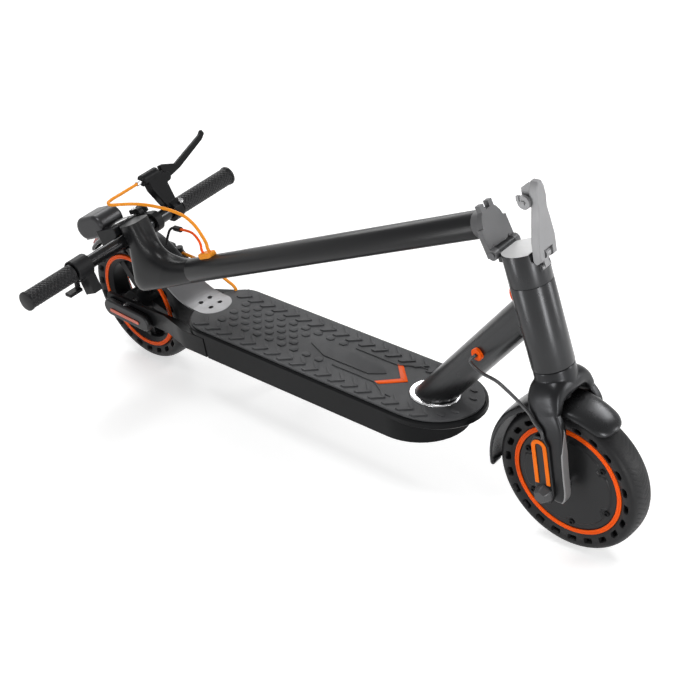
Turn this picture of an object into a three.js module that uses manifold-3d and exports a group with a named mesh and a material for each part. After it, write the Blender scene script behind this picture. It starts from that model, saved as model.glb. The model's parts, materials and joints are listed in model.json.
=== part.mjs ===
// An electric kick scooter, folded, with its bars turned a little to one side.
// Millimetres, +X forward, +Y to the rider's left, +Z up.
import * as THREE from "three";
import { mergeVertices } from "three/addons/utils/BufferGeometryUtils.js";
import Module from "manifold-3d";

const wasm = await Module();
wasm.setup();

// Clearances and overruns shared by every piece
const seatGap = 0.3;
const runningGap = 0.5;
const overrun = 4;

// Faces round a circle, by size
const wheelSides = 48;
const motorSides = 36;
const tubeSides = 24;
const smallSides = 16;
const cordSides = 8;

// Layout: wheels, steering axis and the two photographed angles
const wheelRadius = 103.5;
const axleHeight = 108;
const wheelbase = 869;
const axleTrail = 12.1;
const steerRakeDeg = 9.6;
const steerTurnDeg = 5.6;
const foldSlopeDeg = 19.7;
const foldPinHeight = 322;
const foldPinOffset = 28.6;

// Tyres
const tyreHalfWidth = 21.4;
const tyreTreadFlat = 13;
const tyreShoulderRadius = 99.4;
const tyreBeadRadius = 80.3;
const tyreBeadHalfWidth = 17;
const tyreHoleRadius = 88.4;
const tyreHoleLength = 13;
const tyreHoleHeight = 6;
const tyreHoleCount = 22;

// Coloured rim liners
const linerOuterRadius = 79.9;
const linerFlangeRadius = 73.7;
const linerWall = 1.2;
const frontLinerHalfWidth = 18.1;
const rearLinerHalfWidth = 20.4;
const linerFlangeThickness = 1.6;

// Front motor wheel
const motorWall = 7;
const motorSideWall = 4;
const motorFaceRadius = 57;
const motorFaceHeight = 2.2;
const motorBossRadius = 5;
const motorBossCircle = 64.5;
const motorBossCount = 6;
const statorRadius = 61;
const statorHalfWidth = 10.5;
const statorHubRadius = 26;
const statorToothCount = 18;
const axleRadius = 7.5;
const axleNutRadius = 11;
const axleNutHeight = 4;

// Rear wheel and its brake
const rearRimDepth = 11;
const rearRimHalfWidth = 14;
const rearSpokeWidth = 15;
const rearSpokeThickness = 16;
const rearSpokeCount = 5;
const rearHubRadius = 21;
const rearHubHalfWidth = 27.5;
const discRadius = 60;
const discThickness = 2.2;
const discSlotCount = 10;
const discSlotRadius = 5;
const discSlotCircle = 50;
const discInnerRadius = 15;

// Deck
const deckHalfWidth = 65;
const deckRearX = 150;
const cableHoleX = 172;
const cableHoleY = 46;
const deckRearCurve = 56;
const deckFrontBack = 158;
const deckFrontX = wheelbase - deckFrontBack;
const deckFrontCurve = 92;
const bodyHalfWidth = 64.2;
const bodyRearHalfWidth = 52;
const bodyRearStepX = 216;
const bodyFrontBack = 195;
const bodyFrontX = wheelbase - bodyFrontBack;
const bodyFrontCurve = 80;
const bodyDrop = 9.4;
const bodyDepth = 33.4;
const bodyRimHeight = 9.4;
const bodyBottomZ = axleHeight - bodyDrop;
const bodyRimZ = bodyBottomZ + bodyDepth;
const bodyTopZ = bodyRimZ + bodyRimHeight;
const bodyWall = 3;
const coverThickness = 2.4;
const rimBevel = 1.6;
const matInset = 4.2;
const matThickness = 3.2;
const batteryRearX = 250;
const batteryFrontGap = 114;
const batteryFrontX = bodyFrontX - batteryFrontGap;
const batteryClearance = 3;
const batteryHeadroom = 10.4;
const batteryTopZ = bodyTopZ - batteryHeadroom;

// Neck, head tube and headset
const neckFootBack = 237.5;
const neckFootX = wheelbase - neckFootBack;
const neckRadius = 23.4;
const neckJoinUp = 246.8;
const headRadius = 27.5;
const headBottom = 164;
const headTop = 278.6;
const headWall = 6.8;
const collarWidth = 6.6;
const collarThickness = 2.6;
const steererRadius = 15;
const grommetRadius = 8.5;
const grommetThickness = 4;
const grommetUp = 163;

// Fork
const forkArchTop = 130.5;
const forkLegInner = 35.4;
const forkLegThickness = 8;
const forkCrownDepth = 44;
const forkLegTopWidth = 34;
const forkLegWidth = 22;
const forkLegFoot = 15;
const forkShoulder = 104;
const forkSteererTop = 302;
const forkCoverThickness = 9;
const forkCoverWidth = 27;
const forkCoverTopZ = 193;
const forkCoverSetBack = 10.4;
const forkCoverNoseHeight = 17;
const forkReflectorRise = 1.4;
const forkReflectorWidth = 5.4;

// Fenders
const fenderInnerRadius = 113.6;
const fenderSkirtRadius = 106.5;
const fenderThickness = 2.6;
const fenderHalfWidth = 29.6;
const frontFenderNoseDeg = 51;
const frontFenderTailDeg = 184;
const rearFenderFrontDeg = 38;
const rearFenderTailDeg = 143;
const fenderPadRadius = 12;
const tongueTipX = 200;
const tongueFlatX = 168;
const tongueHalfWidth = 28;
const tongueThickness = 3;
const tongueHoleRadius = 4;
const tongueHoleLong = 23;
const tongueHoleAcross = 18;
const tongueHoleBack = 24;
const tailLightHalfWidth = 15;
const tailLightThickness = 5;
const tailLightDegrees = 13;

// Rear arms, axle covers and caliper
const armInner = 38;
const armThickness = 6;
const armTailX = -48;
const armHalfHeight = 15;
const armCoverThickness = 6;
const armCoverLength = 110;
const armCoverHeight = 29;
const armCoverCentreX = 8;
const armCoverDrop = 7;
const armCoverTiltDeg = 3;
const armReflectorLength = 71;
const armReflectorHeight = 6;
const armReflectorRise = 1.2;
const rearNutRadius = 9;
const caliperX = 46;
const caliperUp = 60;
const caliperZ = axleHeight + caliperUp;
const caliperLength = 46;
const caliperHeight = 38;
const caliperInner = 26.4;
const caliperOuter = 46;
const caliperPadLength = 24;
const caliperPadWidth = 15;
const caliperPadHeight = 7;
const caliperKnobRadius = 6;
const caliperKnobHeight = 12;

// Folding joint, lock lever and safety catch
const foldTop = 322;
const foldKnuckleRadius = 6.6;
const foldKnuckleHalf = 15.5;
const foldEarRadius = 7;
const foldEarOuter = 25;
const foldPinRadius = 3.2;
const stemPlateThickness = 8;
const stemPlateHalf = 21;
const stemPlateLobe = 4;
const stemPlateLobeHalf = 12;
const stemPlateNotch = 4.6;
const stemConeLength = 22;
const lockPinUp = 318;
const lockPinOut = 31.4;
const lockPinRadius = 3.2;
const lockLeanDeg = 8.3;
const lockLeverHalfWidth = 17;
const lockLeverThickness = 12;
const lockLeverLength = 95;
const lockLeverRear = 5.8;
const lockLeverFoot = 9;
const leverEdgeShares = [[1, 0.2], [0.72, 0.46], [0.5, 0.64], [0.56, 0.78], [0.43, 0.92], [0.2, 1]];
const catchShare = 0.56;
const lockEyeHalf = 4.2;
const lockEyeRadius = 6.4;
const lockBarHalf = 8.5;
const lockBarDrop = 17;
const lockBoxHalf = 7;
const lockBoxDepth = 11;
const lockBoxHeight = 24;
const lockBoxUp = 62;
const catchRadius = 9;
const catchThickness = 4;
const catchPinRadius = 2.6;
const catchHookLength = 8;

// Stem
const stemRadius = 17.9;
const stemRise = 4.7;
const stemWall = 3;
const stemLength = 701;
const stemHeadDepth = 43;
const stemHeadTop = 124;
const stemHeadHalf = 20.5;
const stemHeadCorner = 13;
const stemHeadKick = 31;
const stemHeadKickTop = 88;
const stemHeadCurve = 62;
const stemGrommetBack = 150;
const stemGrommetX = stemLength - stemGrommetBack;
const stemGrommetLength = 33;
const stemGrommetHalf = 7.5;
const stemGrommetHeight = 5.5;

// Handlebar and grips
const barSetIn = 1;
const barX = stemLength - barSetIn;
const barZ = 102.4;
const barRadius = 10;
const barHalfLength = 208;
const gripRadius = 13.8;
const gripEndRadius = 14.6;
const gripEndLength = 4;
const gripOverhang = 3;
const rightGripLength = 88;
const leftGripLength = 111;

// Display pod, lamp and button
const podGap = 0.4;
const podFrontX = stemLength + podGap;
const podLength = 89.6;
const podTailX = podFrontX + podLength;
const podHalfWidth = 23;
const podBottom = 114;
const podTop = 150;
const podNeckLength = 43.6;
const podNeckX = podFrontX + podNeckLength;
const podNeckBottom = 88;
const podNeckHalf = 24;
const podNoseSetBack = 26.6;
const podNoseX = podFrontX + podNoseSetBack;
const podNeckTop = 126;
const lampLength = 24;
const lampWidth = 34;
const lampHeight = 4;
const displayLength = 26;
const displayHalfWidth = 18;
const displayThickness = 2;
const displaySetBack = 70.6;
const displayX = podFrontX + displaySetBack;
const buttonSetBack = 49.6;
const buttonX = podFrontX + buttonSetBack;
const buttonRadius = 5;
const buttonHeight = 3;
const buttonTravel = 1.5;

// Throttle
const throttleGap = 2;
const throttleWidth = 28;
const throttleOuter = barHalfLength + gripOverhang - rightGripLength - throttleGap;
const throttleInner = throttleOuter - throttleWidth;
const throttleRadius = 17.4;
const throttleCupRadius = 15.4;
const throttleCupDepth = 9;
const throttleLobeDepth = 41;
const throttleLobeWidth = 22;
const throttleLobeHalf = 8;
const paddleRingRadius = 14.4;
const paddleWidth = 7;
const paddleReach = 33;
const paddleThickness = 5;
const paddlePad = 24;
const paddlePadHeight = 12;
const paddleSlotDeg = 58;
const paddleStartDeg = -115;

// Brake lever
const perchGap = 3;
const perchWidth = 33;
const perchOuter = barHalfLength + gripOverhang - leftGripLength - perchGap;
const perchInner = perchOuter - perchWidth;
const perchClampRadius = 16.4;
const perchClampWidth = 16;
const perchBodyHalf = 8;
const perchTop = 172;
const perchBarrelRadius = 9;
const perchBarrelReach = 39;
const perchBarrelInner = perchOuter - perchBarrelReach;
const perchBarrelZ = 164;
const leverPinReach = 2;
const leverPinY = perchOuter + leverPinReach;
const leverPinZ = 152;
const leverPinRadius = 2.6;
const leverEyeRadius = 7.5;
const leverThickness = 9;
const leverBladeHeight = 9;
const leverKneeReach = 28;
const leverKneeY = leverPinY + leverKneeReach;
const leverKneeZ = 157;
const leverTipReach = 97;
const leverTipY = leverPinY + leverTipReach;
const leverTipZ = 178;
const ferruleRadius = 3.4;
const ferruleLength = 5;

// Bell
const bellSetIn = 16;
const bellY = perchInner - bellSetIn;
const bellWidth = 13;
const bellClampRadius = 15.4;
const bellStrapLength = 30;
const bellDomeRadius = 12;
const bellPivotBack = 12;
const bellPivotX = barX + bellPivotBack;
const bellPivotZ = 124;
const bellKnobRadius = 8;
const bellKnobThickness = 8;
const bellPinRadius = 2.4;

// Cables
const brakeCableRadius = 2.4;
const motorCableRadius = 2.3;
const rearCableRadius = 2.4;
const lampCableRadius = 1.9;
const connectorRadius = 4.2;
const connectorLength = 17;
const cableLead = 6;
const brakeLoop = [[2, 42, 164], [8, 14, 165], [16, -18, 166.3], [19, -25, 165.5], [23, -27, 163], [30,
    -23, 160],
  [43, -13, 154.5], [60, -3, 147], [86, 4, 135.7], [108, 7, 125.4], [129.5, 8, 112.4], [143.4, 7, 96.7],
      [151.5, 5, 79.1]];
const lampLoop = [[134, 8, 78], [122, 12.5, 85.4], [105, 16.5, 89.4]];
const lampPlug = [[84, 20.6, 92.6], [84 + connectorLength / 2, 18.4, 91.4],
  [84 - connectorLength / 2, 22.8, 93.8]];
const lampTail = [[71, 24, 94.6], [59, 25.4, 92], [50, 24.8, 85], [44, 22.6, 77]];
const lampEndBack = 42;
const lampEndZ = 72;

// Kickstand and charging socket cap
const standX = 268;
const standY = 57;
const standDrop = 14.6;
const standZ = bodyBottomZ - standDrop;
const standTiltDeg = 34;
const standLegRadius = 5.6;
const standHubRadius = 10;
const standHubHalf = 6;
const standPinRadius = 4;
const standFootRadius = 10;
const standFootHeight = 7;
const standPlateLength = 52;
const standPlateWidth = 30;
const standPlateThickness = 3.2;
const capX = batteryFrontX;
const capRise = 18.4;
const capZ = bodyBottomZ + capRise;
const capRadius = 10;
const capThickness = 3;
const capHingeRadius = 2;

// Worked-out places
const deg = Math.PI / 180;
const rake = steerRakeDeg * deg;
const hub = new THREE.Vector3(0, 0, axleHeight);
const frontHub = new THREE.Vector3(wheelbase, 0, axleHeight);
const steerFoot = new THREE.Vector3(wheelbase + axleTrail / Math.cos(rake), 0, axleHeight);
const steerAxis = new THREE.Vector3(-Math.sin(rake), 0, Math.cos(rake));
const matTopZ = bodyTopZ + seatGap + matThickness;
const stemAxisZ = foldPinOffset + stemRise;
const plateZ = foldPinOffset;

// Finishes
function finish(color, roughness, metalness) {
  return new THREE.MeshStandardMaterial({ color, roughness, metalness });
}
const blackPaint = finish(0x1b1c1e, 0.35, 0.4);
const satinBlack = finish(0x232426, 0.5, 0.35);
const greyMetal = finish(0x6d6e70, 0.45, 0.8);
const steel = finish(0xc9cacc, 0.25, 1);
const tyreRubber = finish(0x1a1a1b, 0.85, 0);
const softRubber = finish(0x202124, 0.75, 0);
const matRubber = finish(0x3a3b3d, 0.8, 0);
const plastic = finish(0x18191b, 0.3, 0);
const orange = finish(0xff5a14, 0.45, 0);
const amber = finish(0xffa028, 0.45, 0);
const salmon = finish(0xe58a72, 0.4, 0);
const red = finish(0xb01018, 0.25, 0);
const glass = finish(0x15161a, 0.08, 0);
const batteryBlue = finish(0x2b4f8c, 0.5, 0);
const copper = finish(0xb56a35, 0.4, 0.8);

// A closed geometry as a solid whose faces point out
function solid(geometry) {
  const bare = geometry.clone();
  for (const key of Object.keys(bare.attributes)) if (key !== "position") bare.deleteAttribute(key);
  const merged = mergeVertices(bare, 1e-4);
  const vertProperties = new Float32Array(merged.attributes.position.array);
  const triVerts = new Uint32Array(merged.index.array).filter(() => true);
  const kept = [];
  let volume = 0;
  const point = (i) => new THREE.Vector3().fromArray(vertProperties, 3 * i);
  for (let i = 0; i < triVerts.length; i += 3) {
    const [a, b, c] = triVerts.subarray(i, i + 3);
    if (a === b || b === c || c === a) continue;
    kept.push(a, b, c);
    volume += point(a).dot(point(b).cross(point(c)));
  }
  if (volume < 0) for (let i = 0; i < kept.length; i += 3) kept.splice(i, 2, kept[i + 1], kept[i]);
  return new wasm.Manifold(new wasm.Mesh({ numProp: 3, vertProperties, triVerts: new Uint32Array(kept) }));
}

// A solid back as a geometry
function shapeOf(manifold) {
  const mesh = manifold.getMesh();
  const points = new Float32Array(mesh.numVert * 3);
  for (let i = 0; i < mesh.numVert; i++) {
    for (let k = 0; k < 3; k++) points[3 * i + k] = mesh.vertProperties[mesh.numProp * i + k];
  }
  const geometry = new THREE.BufferGeometry();
  geometry.setAttribute("position", new THREE.BufferAttribute(points, 3));
  geometry.setIndex(new THREE.BufferAttribute(new Uint32Array(mesh.triVerts), 1));
  geometry.computeVertexNormals();
  return geometry;
}

function join(...pieces) {
  return pieces.reduce((all, piece) => all.add(piece));
}
function cut(piece, ...tools) {
  return tools.reduce((left, tool) => left.subtract(tool), piece);
}

// A straight round bar from one point to another
function rod(from, to, radius, sides = smallSides) {
  const start = new THREE.Vector3(...from);
  const end = new THREE.Vector3(...to);
  const along = end.clone().sub(start);
  const geometry = new THREE.CylinderGeometry(radius, radius, along.length(), sides);
  const turn = new THREE.Quaternion().setFromUnitVectors(new THREE.Vector3(0, 1, 0),
      along.clone().normalize());
  geometry.applyQuaternion(turn);
  const middle = start.add(end).multiplyScalar(1 / 2);
  return solid(geometry.translate(middle.x, middle.y, middle.z));
}

// A block given by its two opposite corners
function block(low, high) {
  const size = high.map((value, i) => value - low[i]);
  const geometry = new THREE.BoxGeometry(...size);
  return solid(geometry.translate(...low.map((value, i) => value + size[i] / 2)));
}

// An outline drawn in X and Z, carried across from one Y to another
function sidePlate(outline, yLow, yHigh, bevel = 0) {
  const options = bevelled(yHigh - yLow, bevel);
  const geometry = new THREE.ExtrudeGeometry(outline, options);
  return solid(geometry.rotateX(Math.PI / 2).translate(0, yHigh - bevel, 0));
}

// An outline drawn in X and Y, carried up from one Z to another
function floorPlate(outline, zLow, zHigh, bevel = 0) {
  const geometry = new THREE.ExtrudeGeometry(outline, bevelled(zHigh - zLow, bevel));
  return solid(geometry.translate(0, 0, zLow + bevel));
}

// An outline drawn in Y and Z, carried forward from one X to another
function frontPlate(outline, xLow, xHigh, bevel = 0) {
  const geometry = new THREE.ExtrudeGeometry(outline, bevelled(xHigh - xLow, bevel));
  geometry.rotateX(Math.PI / 2).rotateZ(Math.PI / 2);
  return solid(geometry.translate(xLow + bevel, 0, 0));
}

function bevelled(depth, bevel) {
  const bevelEnabled = bevel > 0;
  return {
    depth: depth - 2 * bevel, bevelEnabled, bevelThickness: bevel, bevelSize: bevel,
    bevelOffset: -bevel, bevelSegments: 1, curveSegments: 10,
  };
}

function polygon(points) {
  return new THREE.Shape(points.map(([a, b]) => new THREE.Vector2(a, b)));
}

// A stadium outline about a centre, long along the first axis
function stadium(length, height, centre = [0, 0], tilt = 0) {
  const radius = height / 2;
  const reach = length / 2 - radius;
  const points = [];
  const steps = 8;
  for (let side = 0; side < 2; side++) {
    for (let i = 0; i <= steps; i++) {
      const angle = -Math.PI / 2 + Math.PI * (side + i / steps);
      const end = side === 0 ? reach : -reach;
      const point = new THREE.Vector2(end + radius * Math.cos(angle), radius * Math.sin(angle));
      point.rotateAround(new THREE.Vector2(0, 0), tilt);
      points.push([point.x + centre[0], point.y + centre[1]]);
    }
  }
  return polygon(points);
}

// A profile of radius and Y pairs, turned about an axle along Y
function turned(profile, sides = motorSides) {
  const closed = [...profile, profile[0]].map(([radius, y]) => new THREE.Vector2(radius, y));
  return solid(new THREE.LatheGeometry(closed, sides));
}

// A plain disc or ring on an axle along Y
function disc(outer, inner, yLow, yHigh, sides = motorSides) {
  if (inner > 0) return turned([[inner, yLow], [outer, yLow], [outer, yHigh], [inner, yHigh]], sides);
  const profile = [[0, yLow], [outer, yLow], [outer, yHigh], [0, yHigh]];
  return solid(new THREE.LatheGeometry(profile.map(([radius, y]) => new THREE.Vector2(radius, y)), sides));
}

// The pie slice between two angles, for cutting an arch out of a ring
function slice(fromDeg, toDeg, radius, halfWidth) {
  const steps = 12;
  const points = [[0, 0]];
  for (let i = 0; i <= steps; i++) {
    const angle = (fromDeg + (toDeg - fromDeg) * i / steps) * deg;
    points.push([radius * Math.cos(angle), radius * Math.sin(angle)]);
  }
  return sidePlate(polygon(points), -halfWidth, halfWidth);
}

// A round cord through chosen points
function cord(points, radius, steps) {
  const path = new THREE.CatmullRomCurve3(points.map((point) => new THREE.Vector3(...point)), false,
      "centripetal");
  const ring = [];
  for (let i = 0; i < cordSides; i++) {
    const angle = 2 * Math.PI * i / cordSides;
    ring.push([radius * Math.cos(angle), radius * Math.sin(angle)]);
  }
  return solid(new THREE.ExtrudeGeometry(polygon(ring), { steps, extrudePath: path, bevelEnabled: false }));
}

// A solid built upright about the steering axis, laid back along it
function alongSteering(piece) {
  return place(piece, steerFoot, -rake);
}
function place(piece, at, tiltAboutY) {
  const geometry = shapeOf(piece);
  return solid(geometry.rotateY(tiltAboutY).translate(at.x, at.y, at.z));
}
function at(piece, x, y, z) {
  return piece.translate([x, y, z]);
}
function mirrorY(piece) {
  return piece.mirror([0, 1, 0]);
}

// Scene graph: the front end turns about the steering axis, the stem about the fold pin
const scooter = new THREE.Group();
const body = new THREE.Group();
const frontTurn = new THREE.Group();
const front = new THREE.Group();
const stem = new THREE.Group();
scooter.add(body);
body.add(frontTurn);
frontTurn.position.copy(steerFoot);
frontTurn.quaternion.setFromAxisAngle(steerAxis, steerTurnDeg * deg);
frontTurn.add(front);
front.position.copy(steerFoot).negate();
front.add(stem);
const foldPin = steerPoint(-foldPinOffset, foldPinHeight);
stem.position.copy(foldPin);
stem.rotation.y = -foldSlopeDeg * deg;

// A point given by its distance ahead of the steering axis and its distance along it
function steerPoint(out, up) {
  const ahead = new THREE.Vector3(Math.cos(rake), 0, Math.sin(rake));
  return steerFoot.clone().addScaledVector(ahead, out).addScaledVector(steerAxis, up);
}

function add(group, name, manifold, material) {
  const mesh = new THREE.Mesh(shapeOf(manifold), material);
  mesh.name = name;
  group.add(mesh);
}

// Wheels

function makeTyre() {
  const half = [
    [tyreBeadRadius, tyreBeadHalfWidth],
    [(tyreBeadRadius + tyreHoleRadius) / 2, (tyreBeadHalfWidth + tyreHalfWidth) / 2 + linerWall],
    [tyreHoleRadius + linerWall, tyreHalfWidth],
    [(tyreHoleRadius + tyreShoulderRadius) / 2 + linerWall, tyreHalfWidth - linerWall],
    [tyreShoulderRadius, (3 * tyreHalfWidth + tyreTreadFlat) / 4 - linerWall],
    [wheelRadius, tyreTreadFlat],
  ];
  const profile = [...half.map(([radius, y]) => [radius, -y]), ...half.reverse()];
  const holes = [];
  for (let i = 0; i < tyreHoleCount; i++) {
    const hole = new THREE.CylinderGeometry(tyreHoleHeight / 2, tyreHoleHeight / 2,
        2 * (tyreHalfWidth + overrun), 6);
    hole.scale(tyreHoleLength / tyreHoleHeight, 1, 1).translate(0, 0, tyreHoleRadius);
    holes.push(solid(hole.rotateY(2 * Math.PI * i / tyreHoleCount)));
  }
  return cut(turned(profile, wheelSides), ...holes);
}

function makeLiner(halfWidth) {
  const innerWall = linerOuterRadius - linerWall;
  return turned([
    [linerOuterRadius, -halfWidth], [linerOuterRadius, halfWidth], [linerFlangeRadius, halfWidth],
    [linerFlangeRadius, halfWidth - linerFlangeThickness], [innerWall, halfWidth - linerFlangeThickness],
    [innerWall, linerFlangeThickness - halfWidth], [linerFlangeRadius, linerFlangeThickness - halfWidth],
    [linerFlangeRadius, -halfWidth],
  ]);
}

const drumRadius = linerOuterRadius - linerWall - seatGap;
const drumHalfWidth = frontLinerHalfWidth - linerFlangeThickness - seatGap;
const motorFlange = linerFlangeRadius - seatGap;

// One side of the motor: a flat wall, a raised face and the screw bosses round it
function motorSide(yIn) {
  const yWall = frontLinerHalfWidth;
  const yFace = yWall + motorFaceHeight;
  const wall = turned([[axleRadius + runningGap, yIn], [motorFlange, yIn], [motorFlange,
      yWall - motorFaceHeight / 2],
    [motorFaceRadius + motorFaceHeight, yWall], [motorFaceRadius, yFace], [axleRadius + runningGap,
        yFace]]);
  const bosses = [];
  for (let i = 0; i < motorBossCount; i++) {
    const angle = 2 * Math.PI * (i + 1 / 2) / motorBossCount;
    const boss = disc(motorBossRadius, 0, yIn + linerWall, yFace - linerWall, 10);
    bosses.push(at(boss, motorBossCircle * Math.cos(angle), 0, motorBossCircle * Math.sin(angle)));
  }
  return join(wall, ...bosses);
}

function makeMotorHub() {
  const drum = disc(drumRadius, drumRadius - motorWall, -drumHalfWidth, drumHalfWidth);
  const side = motorSide(drumHalfWidth - motorSideWall);
  return join(drum, side);
}

function makeMotorCover() {
  return mirrorY(motorSide(drumHalfWidth + seatGap));
}

function makeStator() {
  const ring = disc(statorHubRadius + motorWall, axleRadius + seatGap, -statorHalfWidth, statorHalfWidth);
  const teeth = [];
  const toothHalf = motorWall / 3;
  for (let i = 0; i < statorToothCount; i++) {
    const tooth = new THREE.BoxGeometry(statorRadius - statorHubRadius, 2 * statorHalfWidth, 2 * toothHalf);
    tooth.translate((statorRadius + statorHubRadius) / 2, 0, 0).rotateY(2 * Math.PI * i / statorToothCount);
    teeth.push(solid(tooth));
  }
  return join(ring, ...teeth);
}

const forkLegOuter = forkLegInner + forkLegThickness;

// Axle with a nut on each side, between the two given distances from the middle
function makeAxle(reach, nutRadius, nutLow) {
  const shaft = disc(axleRadius, 0, -reach, reach, tubeSides);
  const nut = disc(nutRadius, 0, nutLow, nutLow + axleNutHeight, 6);
  return join(shaft, nut, mirrorY(nut));
}

function makeRearRim() {
  const outer = linerOuterRadius - linerWall - seatGap;
  const inner = outer - rearRimDepth;
  const hubPart = disc(rearHubRadius, axleRadius + runningGap, -rearHubHalfWidth, rearHubHalfWidth,
      tubeSides);
  const lip = rearLinerHalfWidth - linerFlangeThickness - seatGap;
  const rim = turned([[inner, -rearRimHalfWidth], [linerFlangeRadius, -lip], [outer, -lip], [outer, lip],
    [linerFlangeRadius, lip], [inner, rearRimHalfWidth]]);
  const spokes = [];
  for (let i = 0; i < rearSpokeCount; i++) {
    const spoke = new THREE.BoxGeometry(inner - rearHubRadius + overrun, rearSpokeThickness,
        rearSpokeWidth);
    spoke.translate((inner + rearHubRadius) / 2, 0, 0).rotateY(2 * Math.PI * (i + 1 / 4) / rearSpokeCount);
    spokes.push(solid(spoke));
  }
  return join(hubPart, rim, ...spokes);
}

const discY = rearHubHalfWidth + seatGap;

function makeBrakeDisc() {
  const slots = [];
  for (let i = 0; i < discSlotCount; i++) {
    const angle = 2 * Math.PI * i / discSlotCount;
    const slot = disc(discSlotRadius, 0, discY - overrun, discY + discThickness + overrun, 8);
    slots.push(at(slot, discSlotCircle * Math.cos(angle), 0, discSlotCircle * Math.sin(angle)));
  }
  return cut(disc(discRadius, discInnerRadius, discY, discY + discThickness), ...slots);
}

function addWheels() {
  const rearWheel = new THREE.Group();
  rearWheel.position.copy(hub);
  body.add(rearWheel);
  add(rearWheel, "rear_tyre", makeTyre(), tyreRubber);
  add(rearWheel, "rear_rim_liner", makeLiner(rearLinerHalfWidth), orange);
  add(rearWheel, "rear_rim", makeRearRim(), satinBlack);
  add(rearWheel, "brake_disc", makeBrakeDisc(), steel);
  add(rearWheel, "rear_axle", makeAxle(armOuter + axleNutHeight, rearNutRadius, armOuter + seatGap), steel);
  const frontWheel = new THREE.Group();
  frontWheel.position.copy(frontHub);
  front.add(frontWheel);
  add(frontWheel, "front_tyre", makeTyre(), tyreRubber);
  add(frontWheel, "front_rim_liner", makeLiner(frontLinerHalfWidth), orange);
  add(frontWheel, "motor_hub", makeMotorHub(), plastic);
  add(frontWheel, "motor_cover", makeMotorCover(), plastic);
  add(frontWheel, "motor_stator", makeStator(), copper);
  add(frontWheel, "front_axle", makeAxle(forkLegOuter - seatGap, axleNutRadius,
      forkLegInner - seatGap - axleNutHeight), steel);
}

// Deck

// Plan outline with straight sides and an elliptical front and rear
function deckOutline(halfWidth, rearX, rearCurve, frontX, frontCurve) {
  const shape = new THREE.Shape();
  shape.moveTo(rearX + rearCurve, -halfWidth);
  shape.lineTo(frontX - frontCurve, -halfWidth);
  shape.absellipse(frontX - frontCurve, 0, frontCurve, halfWidth, -Math.PI / 2, Math.PI / 2, false);
  shape.lineTo(rearX + rearCurve, halfWidth);
  shape.absellipse(rearX + rearCurve, 0, rearCurve, halfWidth, Math.PI / 2, 3 * Math.PI / 2, false);
  return shape;
}

function trayOutline(inset) {
  const front = deckOutline(bodyHalfWidth - inset, bodyRearStepX + inset, bodyWall, bodyFrontX - inset,
      bodyFrontCurve - inset);
  return front;
}

function trayRearOutline(inset) {
  const outline = deckOutline(bodyRearHalfWidth - inset, deckRearX + inset, deckRearCurve - inset,
    bodyRearStepX + overrun + inset, overrun);
  return outline;
}

const trayFloorZ = bodyBottomZ + coverThickness + seatGap;
const neckJoin = steerPoint(0, neckJoinUp);
const neckSlope = Math.atan2(neckJoin.z - matTopZ, neckJoin.x - neckFootX);
const neckFootHalf = neckRadius / Math.sin(neckSlope);
const neckFootZ = bodyTopZ + seatGap;
const neckPlanX = (z) => neckFootX + (z - matTopZ) / Math.tan(neckSlope);

function ellipse(x, halfX, halfY) {
  const shape = new THREE.Shape();
  shape.absellipse(x, 0, halfX, halfY, 0, 2 * Math.PI, false);
  return shape;
}

function makeDeckBody() {
  const tray = join(floorPlate(trayOutline(0), trayFloorZ, bodyRimZ + linerWall),
    floorPlate(trayRearOutline(0), trayFloorZ, bodyRimZ + linerWall));
  const rim = floorPlate(deckOutline(deckHalfWidth, deckRearX, deckRearCurve, deckFrontX, deckFrontCurve),
    bodyRimZ, bodyTopZ, rimBevel);
  const bay = join(floorPlate(trayOutline(bodyWall), bodyBottomZ, bodyTopZ - bodyWall - overrun / 2),
    floorPlate(trayRearOutline(bodyWall), bodyBottomZ, bodyTopZ - bodyWall - overrun / 2));
  const socket = rod([capX, bodyHalfWidth + overrun, capZ], [capX, bodyHalfWidth - bodyWall - overrun,
      capZ], capRadius - capThickness);
  return cut(join(tray, rim), bay, socket, cableHole());
}

// Hole in the rim where the rear brake cable comes out
function cableHole() {
  return at(floorDisc(rearCableRadius + runningGap, bodyRimZ - overrun, matTopZ + overrun, 12),
      cableHoleX, cableHoleY, 0);
}

function makeBottomCover() {
  return join(floorPlate(trayOutline(0), bodyBottomZ, bodyBottomZ + coverThickness),
    floorPlate(trayRearOutline(0), bodyBottomZ, bodyBottomZ + coverThickness));
}

function makeDeckMat() {
  const mat = floorPlate(deckOutline(deckHalfWidth - matInset, deckRearX + matInset,
      deckRearCurve - matInset,
    deckFrontX - matInset, deckFrontCurve - matInset), bodyTopZ + seatGap, matTopZ, seatGap);
  const hole = floorPlate(ellipse(neckFootX, collarHalfX + seatGap, collarHalfY + seatGap),
      bodyTopZ - overrun, matTopZ + overrun);
  const padHole = floorPlate(tongueOutline(seatGap), bodyTopZ - overrun, matTopZ + overrun);
  return cut(mat, hole, padHole, cableHole());
}

const collarHalfX = neckFootHalf + collarWidth;
const collarHalfY = neckRadius + collarWidth;

function makeCollar() {
  const low = bodyTopZ + seatGap;
  const ring = floorPlate(ellipse(neckFootX, collarHalfX, collarHalfY), low, matTopZ + collarThickness,
      rimBevel);
  return cut(ring, neckBar(neckRadius + seatGap));
}

function makeBattery() {
  const halfWidth = bodyHalfWidth - bodyWall - batteryClearance;
  const geometry = new THREE.Shape([new THREE.Vector2(batteryRearX, -halfWidth),
      new THREE.Vector2(batteryFrontX, -halfWidth),
    new THREE.Vector2(batteryFrontX, halfWidth), new THREE.Vector2(batteryRearX, halfWidth)]);
  return floorPlate(geometry, trayFloorZ, batteryTopZ, batteryClearance);
}

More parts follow.
